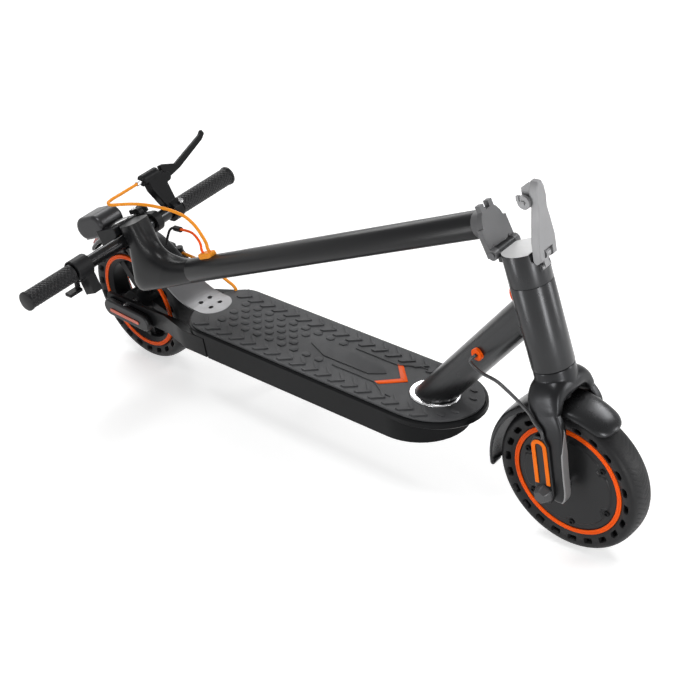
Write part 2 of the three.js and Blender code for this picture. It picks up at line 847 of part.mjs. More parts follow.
// The neck's own bar, from under the deck plate to the head tube
function neckBar(radius) {
  const headX = steerPoint(0, (headTop + headBottom) / 2).x;
  const rise = (headX - neckFootX) * Math.tan(neckSlope);
  const low = neckFootX - (matTopZ - bodyBottomZ) / Math.tan(neckSlope);
  return rod([low, 0, bodyBottomZ], [headX, 0, matTopZ + rise], radius, tubeSides);
}

function makeNeck() {
  const head = alongSteering(floorDisc(headRadius, headBottom, headTop));
  const bore = alongSteering(floorDisc(headRadius - headWall, headBottom - overrun, headTop + overrun));
  const below = block([deckRearX, -deckHalfWidth, bodyBottomZ - 2 * neckRadius], [deckFrontX,
      deckHalfWidth, neckFootZ]);
  const tube = cut(neckBar(neckRadius), below);
  const hollow = neckBar(neckRadius - stemWall);
  return cut(join(tube, head), hollow, bore);
}

// An upright disc about Z
function floorDisc(radius, low, high, sides = tubeSides) {
  const geometry = new THREE.CylinderGeometry(radius, radius, high - low, sides);
  return solid(geometry.rotateX(Math.PI / 2).translate(0, 0, (low + high) / 2));
}

function makeSleeve() {
  const boreRadius = headRadius - headWall;
  const barrel = floorDisc(boreRadius - seatGap, headBottom, headTop);
  return alongSteering(cut(barrel, floorDisc(steererRadius + runningGap, headBottom - overrun,
      headTop + overrun)));
}

const neckMidZ = grommetUp + bodyBottomZ;

function makeNeckGrommet() {
  const centre = [neckPlanX(neckMidZ), -neckRadius, neckMidZ];
  const plug = rod([centre[0], -neckRadius - grommetThickness, centre[2]], [centre[0], 0, centre[2]],
      grommetRadius);
  const cable = rod([centre[0], -neckRadius - overrun, centre[2]], [centre[0], -neckRadius, centre[2]],
      motorCableRadius + seatGap, 8);
  return cut(plug, neckBar(neckRadius + seatGap), cable);
}

function addDeck() {
  add(body, "deck_body", makeDeckBody(), blackPaint);
  add(body, "bottom_cover", makeBottomCover(), satinBlack);
  add(body, "deck_mat", makeDeckMat(), matRubber);
  add(body, "battery_pack", makeBattery(), batteryBlue);
  add(body, "neck_and_head_tube", makeNeck(), blackPaint);
  add(body, "neck_collar", makeCollar(), steel);
  add(body, "headset_sleeve", makeSleeve(), steel);
  add(body, "neck_grommet", makeNeckGrommet(), orange);
}

// Rear arms, axle covers, caliper

const armOuter = armInner + armThickness;

function makeArm() {
  const tail = [[armTailX, armInner], [deckRearX / 2, armInner], [deckRearX - overrun,
      bodyRearHalfWidth - armThickness],
    [deckRearX + deckRearCurve / 2, bodyRearHalfWidth + seatGap], [bodyRearStepX - seatGap,
        bodyRearHalfWidth + seatGap]];
  const outer = [[bodyRearStepX - seatGap, bodyHalfWidth], [deckRearX + deckRearCurve / 3, bodyHalfWidth],
    [deckRearX - armThickness, bodyHalfWidth - armThickness], [deckRearX * 2 / 3,
        armOuter + armThickness / 3],
    [deckRearX / 2, armOuter], [armTailX, armOuter]];
  const plan = floorPlate(polygon([...tail, ...outer]), bodyBottomZ, bodyRimZ - seatGap);
  const low = axleHeight - armHalfHeight;
  const side = polygon([[armTailX + overrun, low], [deckRearX / 2, low], [deckRearX, bodyBottomZ],
    [bodyRearStepX, bodyBottomZ], [bodyRearStepX, bodyRimZ - seatGap], [deckRearX, bodyRimZ - seatGap],
    [deckRearX / 2, axleHeight + armHalfHeight], [armTailX + overrun, axleHeight + armHalfHeight],
    [armTailX, axleHeight + armHalfHeight / 2], [armTailX, axleHeight - armHalfHeight / 2]]);
  const lowPlan = floorPlate(polygon([...tail, ...outer]), low, bodyRimZ - seatGap);
  const profile = sidePlate(side, 0, bodyHalfWidth + overrun);
  const dropout = rod([0, armInner - overrun, axleHeight], [0, armOuter + overrun, axleHeight],
      axleRadius + seatGap);
  return cut(join(plan, lowPlan).intersect(profile), dropout);
}

function coverOutline(grow) {
  return stadium(armCoverLength + grow, armCoverHeight + grow, [armCoverCentreX,
      axleHeight - armCoverDrop], -armCoverTiltDeg * deg);
}

function makeAxleCover() {
  const low = armOuter + seatGap;
  const high = low + axleNutHeight + armCoverThickness;
  const shell = sidePlate(coverOutline(0), low, high, armCoverThickness / 3);
  const pocket = rod([0, low - overrun, axleHeight], [0, low + axleNutHeight + linerWall, axleHeight],
      rearNutRadius + runningGap);
  return cut(shell, pocket);
}

function makeArmReflector() {
  const low = armOuter + 2 * seatGap + axleNutHeight + armCoverThickness;
  const outline = stadium(armReflectorLength, armReflectorHeight,
    [armCoverCentreX - armReflectorHeight / 2, axleHeight - armCoverDrop - armReflectorHeight / 3],
        -armCoverTiltDeg * deg);
  return mirrorY(sidePlate(outline, low, low + armReflectorRise));
}

function makeCaliper() {
  const half = caliperLength / 2;
  const outline = polygon([
    [caliperX - half, caliperZ - caliperHeight / 2], [caliperX + half, caliperZ - caliperHeight / 2],
    [caliperX + half, caliperZ + caliperHeight / 4], [caliperX + half / 2, caliperZ + caliperHeight / 2],
    [caliperX - half, caliperZ + caliperHeight / 2]]);
  const housing = sidePlate(outline, caliperInner, caliperOuter, linerWall);
  const slot = disc(discRadius + runningGap + linerWall, 0, discY - linerWall,
      discY + discThickness + linerWall);
  const bracket = block([caliperX - half, armInner + seatGap, axleHeight + armHalfHeight + seatGap],
    [caliperX + half / 3, armOuter, caliperZ]);
  const top = caliperZ + caliperHeight / 2;
  const middleY = (caliperInner + caliperOuter) / 2;
  const pad = at(floorPlate(stadium(caliperPadLength, caliperPadWidth), top - overrun,
      top + caliperPadHeight, linerWall),
    caliperX - half / 3, middleY, 0);
  const knob = at(floorDisc(caliperKnobRadius, top - caliperHeight / 3, top + caliperKnobHeight - overrun,
      12),
    caliperX + half - caliperKnobRadius, middleY, 0);
  return join(cut(housing, at(slot, 0, 0, axleHeight)), bracket, pad, knob);
}

function addRearEnd() {
  const arm = makeArm();
  add(body, "rear_arm_left", arm, blackPaint);
  add(body, "rear_arm_right", mirrorY(arm), blackPaint);
  const cover = makeAxleCover();
  add(body, "axle_cover_left", cover, plastic);
  add(body, "axle_cover_right", mirrorY(cover), plastic);
  add(body, "rear_reflector", makeArmReflector(), salmon);
  add(body, "brake_caliper", makeCaliper(), satinBlack);
}

// Fenders

function fenderRing() {
  const outerTop = fenderInnerRadius + fenderThickness;
  const skirt = fenderHalfWidth - fenderThickness;
  const half = [[fenderSkirtRadius, skirt], [fenderSkirtRadius, fenderHalfWidth],
      [fenderInnerRadius - linerWall, fenderHalfWidth],
    [outerTop, fenderHalfWidth * 3 / 4], [outerTop + linerWall, 0]];
  const inner = [[fenderInnerRadius + linerWall, 0], [fenderInnerRadius,
      fenderHalfWidth * 3 / 4 - linerWall]];
  const across = (points) => points.filter(([, y]) => y > 0).map(([radius, y]) => [radius, -y]).reverse();
  return turned([...half, ...across(half), ...across(inner).reverse(), ...inner]);
}

function makeFrontFender() {
  const arch = fenderRing().intersect(slice(frontFenderNoseDeg, frontFenderTailDeg, 2 * wheelRadius,
      fenderHalfWidth + overrun));
  const pad = alongSteering(floorDisc(fenderPadRadius, fenderSkirtRadius - motorFaceHeight,
      forkArchTop - seatGap));
  const wheelSpace = disc(fenderInnerRadius, 0, -fenderHalfWidth, fenderHalfWidth);
  return join(at(arch, wheelbase, 0, axleHeight), cut(pad, at(wheelSpace, wheelbase, 0, axleHeight)));
}

function tongueOutline(grow) {
  const half = tongueHalfWidth + grow;
  const bend = tongueTipX - tongueHalfWidth;
  const shape = new THREE.Shape();
  shape.moveTo(deckRearX / 2, -half);
  shape.lineTo(bend, -half);
  shape.absarc(bend, 0, half, -Math.PI / 2, Math.PI / 2, false);
  shape.lineTo(deckRearX / 2, half);
  return shape;
}

function makeRearFender() {
  const arch = at(fenderRing().intersect(slice(rearFenderFrontDeg, rearFenderTailDeg, 2 * wheelRadius,
      fenderHalfWidth + overrun)), 0, 0, axleHeight);
  const seatZ = bodyTopZ + seatGap;
  const angle = (rearFenderFrontDeg + 3) * deg;
  const radius = fenderInnerRadius + fenderThickness;
  const start = new THREE.Vector2(radius * Math.cos(angle), axleHeight + radius * Math.sin(angle));
  const bend = new THREE.Vector2((deckRearX + start.x) / 2 - fenderThickness, seatZ + tongueThickness);
  const curve = new THREE.QuadraticBezierCurve(start, bend, new THREE.Vector2(tongueFlatX,
      seatZ + tongueThickness));
  const upper = [...curve.getPoints(8), new THREE.Vector2(tongueTipX, seatZ + tongueThickness)];
  const lower = [new THREE.Vector2(tongueTipX, seatZ), new THREE.Vector2(tongueFlatX, seatZ)];
  const offset = curve.getPoints(8).slice(0, -1).reverse().map((point, i) => {
    const tangent = curve.getTangent(1 - (i + 1) / 8);
    return new THREE.Vector2(point.x + tangent.y * tongueThickness, point.y - tangent.x * tongueThickness);
  });
  const sheet = sidePlate(new THREE.Shape([...upper, ...lower, ...offset]), -tongueHalfWidth,
      tongueHalfWidth);
  const trim = floorPlate(tongueOutline(0), bodyBottomZ, 2 * wheelRadius);
  const holes = [];
  for (const side of [-1, 1]) {
    for (const row of [0, 1]) {
      const hole = floorDisc(tongueHoleRadius, seatZ - overrun, seatZ + 4 * tongueThickness, 12);
      holes.push(at(hole, tongueTipX - tongueHoleBack - row * tongueHoleLong, side * tongueHoleAcross / 2,
          0));
    }
  }
  return join(arch, cut(sheet.intersect(trim), ...holes));
}

function makeTailLight() {
  const low = rearFenderTailDeg - tailLightDegrees;
  const radius = fenderInnerRadius + fenderThickness + linerWall + seatGap;
  const ring = disc(radius + tailLightThickness, radius, -tailLightHalfWidth, tailLightHalfWidth);
  return at(ring.intersect(slice(low, rearFenderTailDeg - 1, 2 * wheelRadius, fenderHalfWidth)), 0, 0,
      axleHeight);
}

function addFenders() {
  add(front, "front_fender", makeFrontFender(), blackPaint);
  add(body, "rear_fender", makeRearFender(), blackPaint);
  add(body, "tail_light", makeTailLight(), red);
}

// Fork

function makeFork() {
  const outer = forkLegOuter;
  const half = forkCrownDepth / 2;
  const neckTop = headBottom - seatGap;
  const mid = (neckTop + forkArchTop) / 2;
  const archFoot = forkArchTop - forkLegThickness;
  const crownOutline = polygon([
    [-outer, forkShoulder], [-forkLegInner, forkShoulder], [-forkLegInner, archFoot],
        [-forkLegInner + forkLegThickness, forkArchTop],
    [forkLegInner - forkLegThickness, forkArchTop], [forkLegInner, archFoot], [forkLegInner,
        forkShoulder], [outer, forkShoulder],
    [outer - linerWall, archFoot - forkLegThickness / 2], [outer - forkLegThickness * 0.7, forkArchTop],
    [headRadius + forkLegThickness / 3, mid - forkLegThickness * 0.7], [headRadius,
        mid + forkLegThickness / 2],
    [-headRadius, mid + forkLegThickness / 2], [-headRadius - forkLegThickness / 3,
        mid - forkLegThickness * 0.7],
    [-outer + forkLegThickness * 0.7, forkArchTop], [-outer + linerWall, archFoot - forkLegThickness / 2]]);
  const crown = alongSteering(join(frontPlate(crownOutline, -half, half, linerWall),
    floorDisc(headRadius, forkArchTop + seatGap, neckTop),
    floorDisc(steererRadius, mid, forkSteererTop)));
  const leg = makeForkLeg();
  return join(crown, leg, mirrorY(leg));
}

function makeForkLeg() {
  const top = steerPoint(0, forkShoulder + forkLegFoot);
  const topHalf = forkLegTopWidth / 2;
  const legHalf = forkLegWidth / 2;
  const kneeZ = axleHeight + forkShoulder * 3 / 4;
  const outline = polygon([
    [wheelbase - legHalf, axleHeight - legHalf], [wheelbase - legHalf / 2, axleHeight - forkLegFoot],
    [wheelbase + legHalf / 2, axleHeight - forkLegFoot], [wheelbase + legHalf, axleHeight - legHalf],
    [wheelbase + legHalf, kneeZ], [top.x + topHalf, top.z], [top.x - topHalf, top.z],
        [wheelbase - legHalf, kneeZ]]);
  const plate = sidePlate(outline, forkLegInner, forkLegOuter, linerWall);
  const dropout = rod([wheelbase, forkLegInner - overrun, axleHeight], [wheelbase, forkLegOuter + overrun,
      axleHeight], axleRadius + seatGap);
  return cut(plate, dropout);
}

const coverX = wheelbase - forkCoverSetBack;

// Cover over the axle end: a flat pod with a faceted nose at its foot
function makeForkCover() {
  const low = forkLegOuter + seatGap;
  const high = low + forkCoverThickness;
  const half = forkCoverWidth / 2;
  const foot = axleHeight - forkLegFoot;
  const outline = polygon([
    [coverX - half / 2, foot], [coverX + half / 2, foot], [coverX + half, axleHeight], [coverX + half,
        forkCoverTopZ - half],
    [coverX + half / 2, forkCoverTopZ], [coverX - half / 2, forkCoverTopZ], [coverX - half,
        forkCoverTopZ - half],
    [coverX - half, axleHeight]]);
  const shell = sidePlate(outline, low, high, linerWall);
  const nose = new THREE.ConeGeometry(half, forkCoverNoseHeight, 6);
  nose.translate(coverX, high + forkCoverNoseHeight / 2 - linerWall, axleHeight);
  const noseTip = block([coverX - half, high + forkCoverNoseHeight / 3, axleHeight - half],
    [coverX + half, high + forkCoverNoseHeight, axleHeight + half]);
  const gland = rod([coverX, low, forkCoverTopZ - overrun], [coverX, low, forkCoverTopZ + overrun],
      motorCableRadius + seatGap);
  return cut(join(shell, cut(solid(nose), noseTip)), at(gland, 0, forkCoverThickness / 2, 0));
}

// A flat horseshoe on the cover, open towards the nose
function makeForkReflector() {
  const low = forkLegOuter + 2 * seatGap + forkCoverThickness;
  const outerHalf = forkCoverWidth / 2 - 2 * linerWall;
  const innerHalf = outerHalf - forkReflectorWidth;
  const top = forkCoverTopZ - forkCoverWidth / 2 - linerWall;
  const foot = axleHeight + forkCoverWidth / 2 + linerWall;
  const shape = new THREE.Shape();
  shape.moveTo(coverX - outerHalf, foot);
  shape.lineTo(coverX - innerHalf, foot);
  shape.lineTo(coverX - innerHalf, top);
  shape.absarc(coverX, top, innerHalf, Math.PI, 0, true);
  shape.lineTo(coverX + innerHalf, foot);
  shape.lineTo(coverX + outerHalf, foot);
  shape.lineTo(coverX + outerHalf, top);
  shape.absarc(coverX, top, outerHalf, 0, Math.PI, false);
  return mirrorY(sidePlate(shape, low, low + forkReflectorRise));
}

function addFork() {
  add(front, "fork", makeFork(), satinBlack);
  const cover = makeForkCover();
  add(front, "fork_cover_left", cover, plastic);
  add(front, "fork_cover_right", mirrorY(cover), plastic);
  add(front, "fork_reflector", makeForkReflector(), orange);
}

// Folding joint

function makeFoldBase() {
  const low = headTop + seatGap;
  const column = cut(floorDisc(headRadius, low, foldTop), floorDisc(steererRadius + seatGap,
      low - overrun, forkSteererTop + seatGap));
  const pinAt = [-foldPinOffset, foldPinHeight];
  const knuckle = rod([pinAt[0], -foldKnuckleHalf, pinAt[1]], [pinAt[0], foldKnuckleHalf, pinAt[1]],
      foldKnuckleRadius);
  const web = block([pinAt[0], -foldKnuckleHalf, foldTop - 2 * foldKnuckleRadius], [-headRadius / 2,
      foldKnuckleHalf, foldTop]);
  const bore = rod([pinAt[0], -headRadius, pinAt[1]], [pinAt[0], headRadius, pinAt[1]],
      foldPinRadius + seatGap);
  const earSpace = foldEarRadius + runningGap;
  const pocket = (side) => rod([pinAt[0], side * (foldKnuckleHalf + seatGap / 2), pinAt[1]],
    [pinAt[0], side * (headRadius + overrun), pinAt[1]], earSpace);
  const rise = block([pinAt[0] - overrun, -headRadius, foldTop], [headRadius, headRadius,
      foldTop + 2 * foldKnuckleRadius]);
  const lug = block([headRadius - overrun, -lockBarHalf - linerWall, lockPinUp - lockBarDrop - lockEyeHalf],
    [headRadius + linerWall, lockBarHalf + linerWall, lockPinUp - lockBarDrop + lockEyeHalf]);
  const notch = lockBoltShape(seatGap);
  const leverRoom = join(rod([lockPinOut, -lockLeverHalfWidth - runningGap, lockPinUp], [lockPinOut,
      lockLeverHalfWidth + runningGap, lockPinUp],
    lockLeverFoot + 2 * linerWall),
    block([lockPinOut - lockLeverRear - runningGap - linerWall, -lockLeverHalfWidth - runningGap,
        lockPinUp], [2 * headRadius, lockLeverHalfWidth + runningGap, foldTop + overrun]));
  const shape = cut(join(column, cut(join(knuckle, web), cut(rise, knuckle))), pocket(-1), pocket(1), bore);
  return alongSteering(cut(join(cut(shape, leverRoom), lug), notch));
}

function makeHingePin() {
  const at0 = [-foldPinOffset, foldPinHeight];
  const reach = foldEarOuter + seatGap;
  const shaft = rod([at0[0], -reach, at0[1]], [at0[0], reach, at0[1]], foldPinRadius);
  const headDisc = rod([at0[0], -reach - linerWall, at0[1]], [at0[0], -reach, at0[1]],
      foldPinRadius + linerWall);
  const tailDisc = rod([at0[0], reach, at0[1]], [at0[0], reach + linerWall, at0[1]],
      foldPinRadius + linerWall);
  return alongSteering(join(shaft, headDisc, tailDisc));
}

// T-shaped eye bolt: a bar held in the column's notch, and an eye round the lever's pin
function lockBoltShape(grow) {
  const eye = rod([lockPinOut, -lockEyeHalf - grow, lockPinUp], [lockPinOut, lockEyeHalf + grow,
      lockPinUp], lockEyeRadius + grow);
  const barZ0 = lockPinUp - lockBarDrop;
  const barX0 = (headRadius + lockPinOut) / 2 - overrun / 2;
  const shank = block([barX0 - lockEyeHalf / 2 - grow, -lockEyeHalf - grow, barZ0 - grow],
    [lockPinOut, lockEyeHalf + grow, lockPinUp]);
  const bar = rod([barX0, -lockBarHalf - grow, barZ0], [barX0, lockBarHalf + grow, barZ0],
      lockEyeHalf / 2 + linerWall + grow, 10);
  return join(eye, shank, bar);
}

function makeLockBolt() {
  const bore = rod([lockPinOut, -headRadius, lockPinUp], [lockPinOut, headRadius, lockPinUp],
      lockPinRadius + runningGap);
  const columnSkin = floorDisc(headRadius - lockEyeHalf - seatGap, headBottom, 2 * headTop);
  return alongSteering(cut(lockBoltShape(0), bore, columnSkin));
}

const catchY = -lockLeverHalfWidth * catchShare - runningGap;

// Lever, drawn upright about its own pin and then leant forward
function makeLockLever() {
  const w = lockLeverHalfWidth;
  const rise = lockLeverLength;
  const waist = w / 2;
  const edge = [[w, -lockLeverFoot], ...leverEdgeShares.map(([wide, high]) => [w * wide, rise * high])];
  const outline = polygon([
    ...edge, ...edge.map(([y, z]) => [-y, z]).reverse()]);
  const plate = frontPlate(outline, -lockLeverRear, lockLeverThickness - lockLeverRear, linerWall);
  const foot = sidePlate(polygon([[-lockLeverRear - overrun, 0], [-lockLeverRear, -lockLeverFoot / 2],
      [-lockLeverRear / 3, -lockLeverFoot],
    [lockLeverThickness - 2 * lockLeverRear, -lockLeverFoot], [lockLeverThickness - lockLeverRear,
        -lockLeverFoot / 2],
    [lockLeverThickness - lockLeverRear, rise], [-lockLeverRear, rise], [-lockLeverRear, 0]]),
        -w - overrun, w + overrun);
  const window = block([-lockLeverThickness, -lockBarHalf, -2 * lockLeverFoot], [lockLeverThickness,
      lockBarHalf, lockEyeRadius + runningGap + linerWall]);
  const lobeRoom = block([-2 * lockLeverRear, -stemPlateLobeHalf - 2 * runningGap,
      foldTop - lockPinUp - linerWall],
    [linerWall * 1.5, stemPlateLobeHalf + 2 * runningGap,
        foldTop - lockPinUp + stemPlateThickness + 2 * linerWall]);
  const pin = rod([0, -lockBarHalf - overrun, 0], [0, lockBarHalf + overrun, 0], lockPinRadius);
  const boxFoot = lockBoxUp;
  const box = block([-lockLeverRear - lockBoxDepth, -lockBoxHalf, boxFoot + lockBoxHeight - lockLeverRear],
    [linerWall - lockLeverRear, waist, boxFoot + lockBoxHeight]);
  const post = rod([-lockLeverRear - lockBoxDepth / 2, catchY - catchThickness - linerWall,
      boxFoot + lockBoxHeight / 3],
    [-lockLeverRear - lockBoxDepth / 2, waist / 2, boxFoot + lockBoxHeight / 3], catchPinRadius);
  const cheek = block([-lockLeverRear - lockBoxDepth, -waist + linerWall, boxFoot],
    [linerWall - lockLeverRear, waist / 2, boxFoot + lockBoxHeight]);
  const behindPin = block([-2 * lockLeverRear, -stemPlateLobeHalf - 2 * runningGap, -2 * lockLeverFoot],
    [0, stemPlateLobeHalf + 2 * runningGap, foldTop - lockPinUp]);
  const boss = rod([0, -w, 0], [0, w, 0], lockPinRadius + linerWall / 2);
  const shape = join(cut(plate.intersect(foot), window, lobeRoom, cut(behindPin, boss)), pin, box, cheek,
      post);
  return cut(place(shape, steerPoint(lockPinOut, lockPinUp), -rake + lockLeanDeg * deg), stemPlateSweep());
}

// Room that the lobes of the stem's plate need as they swing up to the lever
function stemPlateSweep() {
  const half = stemPlateLobeHalf + 2 * runningGap;
  const reach = Math.hypot(foldPinOffset + headRadius + stemPlateLobe, stemPlateThickness) + 2 * runningGap;
  const swept = rod([-foldPinOffset, -half, foldPinHeight], [-foldPinOffset, half, foldPinHeight], reach,
      wheelSides);
  const above = block([0, -headRadius, foldTop - linerWall], [2 * reach, headRadius, foldTop + reach]);
  return alongSteering(swept.intersect(above));
}

// Safety catch: a small round plate with a hook, turning on the lever's post
function makeSafetyCatch() {
  const centre = [-lockLeverRear - lockBoxDepth / 2, lockBoxUp + lockBoxHeight / 3];
  const plate = rod([centre[0], catchY - catchThickness, centre[1]], [centre[0], catchY, centre[1]],
      catchRadius, 20);
  const hook = block([centre[0] - catchRadius, catchY - catchThickness - linerWall, centre[1] + linerWall],
    [centre[0] - catchRadius + catchHookLength / 2, catchY - linerWall, centre[1] + catchHookLength]);
  const bore = rod([centre[0], catchY - 2 * catchRadius, centre[1]], [centre[0], catchY + catchRadius,
      centre[1]], catchPinRadius + runningGap);
  return place(cut(join(plate, hook), bore), steerPoint(lockPinOut, lockPinUp), -rake + lockLeanDeg * deg);
}

function addFoldingJoint() {
  add(front, "fold_base", makeFoldBase(), satinBlack);
  add(front, "hinge_pin", makeHingePin(), steel);
  add(front, "lock_bolt", makeLockBolt(), greyMetal);
  add(front, "lock_lever", makeLockLever(), greyMetal);
  add(front, "safety_catch", makeSafetyCatch(), greyMetal);
}

// Stem: X runs back towards the fold pin, Z away from the deck

function makeStemBase() {
  const outer = headRadius;
  const oval = new THREE.CylinderGeometry(1, 1, stemPlateThickness - seatGap / 2,
      tubeSides).rotateZ(Math.PI / 2);
  oval.scale(1, stemPlateHalf, outer);
  const plate = solid(oval.translate(-seatGap - seatGap / 2 - stemPlateThickness / 2 + seatGap / 4, 0,
      plateZ));
  const lobeTop = plateZ + outer + stemPlateLobe;
  const lobe = block([-stemPlateThickness - seatGap, -stemPlateLobeHalf, plateZ], [-seatGap - seatGap / 2,
      stemPlateLobeHalf, lobeTop]);
  const notch = block([-2 * stemPlateThickness, -stemPlateNotch, plateZ + outer - stemPlateLobe],
      [overrun, stemPlateNotch, lobeTop + overrun]);
  const cone = new THREE.CylinderGeometry(stemRadius, stemPlateHalf - linerWall,
      stemConeLength - stemPlateThickness, tubeSides);
  cone.rotateZ(Math.PI / 2).translate(-stemPlateThickness - (stemConeLength - stemPlateThickness) / 2, 0,
      stemAxisZ);
  const plug = rod([-stemConeLength - 2 * stemWall, 0, stemAxisZ], [-stemConeLength / 2, 0, stemAxisZ],
      stemRadius - stemWall - seatGap, tubeSides);
  const ears = [];
  for (const side of [-1, 1]) {
    ears.push(rod([0, side * (foldKnuckleHalf + runningGap), 0], [0, side * foldEarOuter, 0],
        foldEarRadius));
    const y = [side * (foldKnuckleHalf + runningGap), side * foldEarOuter].sort((a, b) => a - b);
    ears.push(block([-stemPlateThickness - seatGap, y[0], -foldEarRadius / 2], [-seatGap - seatGap / 2,
        y[1], stemAxisZ]));
  }
  const space = rod([0, -foldKnuckleHalf - runningGap, 0], [0, foldKnuckleHalf + runningGap, 0],
      foldKnuckleRadius + runningGap);
  const bore = rod([0, -headRadius, 0], [0, headRadius, 0], foldPinRadius + runningGap);
  return cut(join(cut(join(plate, lobe), notch), solid(cone), plug, ...ears), space, bore);
}

function makeStemTube() {
  const rear = -stemLength;
  const inner = rear + stemHeadDepth;
  const low = stemAxisZ - stemRadius;
  const top = stemAxisZ + stemRadius;
  const tube = rod([inner + stemHeadCurve / 2 - overrun, 0, stemAxisZ], [-stemConeLength - seatGap, 0,
      stemAxisZ], stemRadius, tubeSides);
  const headShape = new THREE.Shape();
  headShape.moveTo(rear - stemHeadKick + stemHeadCorner, low);
  headShape.lineTo(inner + stemHeadCurve, low);
  headShape.lineTo(inner + stemHeadCurve, top);
  headShape.quadraticCurveTo(inner + overrun, top, inner, top + stemHeadCurve * 0.72);
  headShape.lineTo(inner - overrun, stemHeadTop);
  headShape.lineTo(rear, stemHeadTop);
  headShape.lineTo(rear, stemHeadKickTop);
  headShape.lineTo(rear - stemHeadKick, low + stemHeadCorner);
  headShape.quadraticCurveTo(rear - stemHeadKick, low, rear - stemHeadKick + stemHeadCorner, low);
  const head = sidePlate(headShape, -stemHeadHalf, stemHeadHalf, 2 * overrun / 3);
  const bore = rod([inner, 0, stemAxisZ], [overrun, 0, stemAxisZ], stemRadius - stemWall, tubeSides);
  const barHole = rod([-barX, -2 * stemHeadHalf, barZ], [-barX, 2 * stemHeadHalf, barZ],
      barRadius + seatGap, 20);
  return cut(join(tube, head), bore, barHole);
}

function makeStemGrommet() {
  const low = stemAxisZ + stemRadius + seatGap;
  const centre = -stemGrommetX;
  const pad = at(floorPlate(stadium(stemGrommetLength, 2 * stemGrommetHalf), low - overrun,
      low + stemGrommetHeight, linerWall), centre, 0, 0);
  const saddle = rod([centre - stemGrommetLength, 0, stemAxisZ], [centre + stemGrommetLength, 0,
      stemAxisZ], stemRadius + seatGap, tubeSides);
  return cut(pad, saddle);
}

function makeHandlebar() {
  return rod([-barX, -barHalfLength, barZ], [-barX, barHalfLength, barZ], barRadius, 20);
}

// A rubber sleeve with a flared end cap, on the side that the sign gives
function makeGrip(side, length) {
  const end = barHalfLength + gripOverhang;
  const start = end - length;
  const inner = barRadius + seatGap;
  const profile = [[inner, start], [gripRadius - linerWall, start], [gripRadius, start + linerWall],
      [gripRadius, end - gripEndLength],
    [gripEndRadius, end - gripEndLength], [gripEndRadius, end - linerWall], [gripEndRadius - linerWall,
        end], [0, end],
    [0, barHalfLength + seatGap], [inner, barHalfLength + seatGap], [inner, start]];
  const sleeve = solid(new THREE.LatheGeometry(profile.map(([radius, y]) => new THREE.Vector2(radius, y)),
      24));
  return at(side > 0 ? sleeve : mirrorY(sleeve), -barX, 0, barZ);
}

// Display pod on a neck behind the stem's head
function makeDisplayPod() {
  const radius = (podTop - podBottom) / 2;
  const pod = sidePlate(stadium(podTailX - podNoseX, podTop - podBottom, [-(podTailX + podNoseX) / 2,
      podBottom + radius]),
    -podHalfWidth, podHalfWidth, 3 * rimBevel);
  const neck = block([-podNeckX, -podNeckHalf, podNeckBottom], [-podFrontX, podNeckHalf, podNeckTop]);
  const windowCut = block([-displayX - displayLength / 2 - seatGap, -displayHalfWidth - seatGap,
      podBottom - overrun],
    [-displayX + displayLength / 2 + seatGap, displayHalfWidth + seatGap,
        podBottom + displayThickness + seatGap]);
  const well = at(floorDisc(buttonRadius + runningGap, podBottom - overrun,
      podBottom + buttonHeight + buttonTravel + seatGap), -buttonX, 0, 0);
  const barSpace = rod([-barX, -2 * podNeckHalf, barZ], [-barX, 2 * podNeckHalf, barZ],
      barRadius + seatGap, 20);
  const stemFace = block([-podFrontX, -2 * podNeckHalf, 0], [0, 2 * podNeckHalf, 2 * podTop]);
  return cut(join(pod, neck), windowCut, well, stemFace, barSpace);
}

function makeDisplay() {
  return block([-displayX - displayLength / 2, -displayHalfWidth, podBottom + seatGap / 2],
    [-displayX + displayLength / 2, displayHalfWidth, podBottom + displayThickness]);
}

function makePowerButton() {
  return at(floorDisc(buttonRadius, podBottom - buttonTravel, podBottom + buttonHeight), -buttonX, 0, 0);
}

function makeHeadlight() {
  const low = podNeckTop + seatGap;
  const lens = new THREE.SphereGeometry(1, 20, 12);
  lens.scale(lampLength / 2, lampWidth / 2, lampHeight);
  const centre = podFrontX + lampLength / 2;
  const below = block([-lampLength, -lampWidth, -2 * lampHeight], [lampLength, lampWidth, 0]);
  return at(cut(solid(lens), below), -centre, 0, low);
}

// Throttle housing: a collar with an open cup for the paddle's ring, and a lobe below it
function makeThrottleHousing() {
  const collar = disc(throttleRadius, barRadius + seatGap, throttleInner, throttleOuter, 24);
  const lobe = block([-throttleLobeWidth / 2, throttleInner, -throttleLobeDepth], [throttleLobeWidth / 2,
      throttleInner + 2 * throttleLobeHalf, 0]);
  const lobeBore = disc(barRadius + seatGap, 0, 0, 2 * throttleOuter, 24);
  const cup = disc(throttleCupRadius, 0, throttleOuter - throttleCupDepth, throttleOuter + overrun, 24);
  const slot = slice(paddleStartDeg - paddleSlotDeg / 2, paddleStartDeg + paddleSlotDeg / 2,
      2 * throttleRadius, throttleCupDepth);
  const slotAt = at(slot, 0, throttleOuter, 0);
  return at(mirrorY(cut(join(collar, lobe), lobeBore, cup, slotAt)), -barX, 0, barZ);
}

function makeThrottlePaddle() {
  const low = throttleOuter - throttleCupDepth + runningGap;
  const ring = disc(paddleRingRadius, 0, low, low + paddleWidth, 24);
  const arm = block([0, low, -paddleThickness / 2], [paddleReach, low + paddleWidth, paddleThickness / 2]);
  const pad = block([paddleReach - paddleThickness, low, -paddlePadHeight / 2], [paddleReach,
      low + paddlePad, paddlePadHeight / 2]);
  const turn = new THREE.Matrix4().makeRotationY(-paddleStartDeg * deg);
  const swung = solid(shapeOf(join(arm, pad)).applyMatrix4(turn));
  const bore = disc(barRadius + runningGap, 0, 0, 2 * throttleOuter, 24);
  return at(mirrorY(cut(join(ring, swung), bore)), -barX, 0, barZ);
}

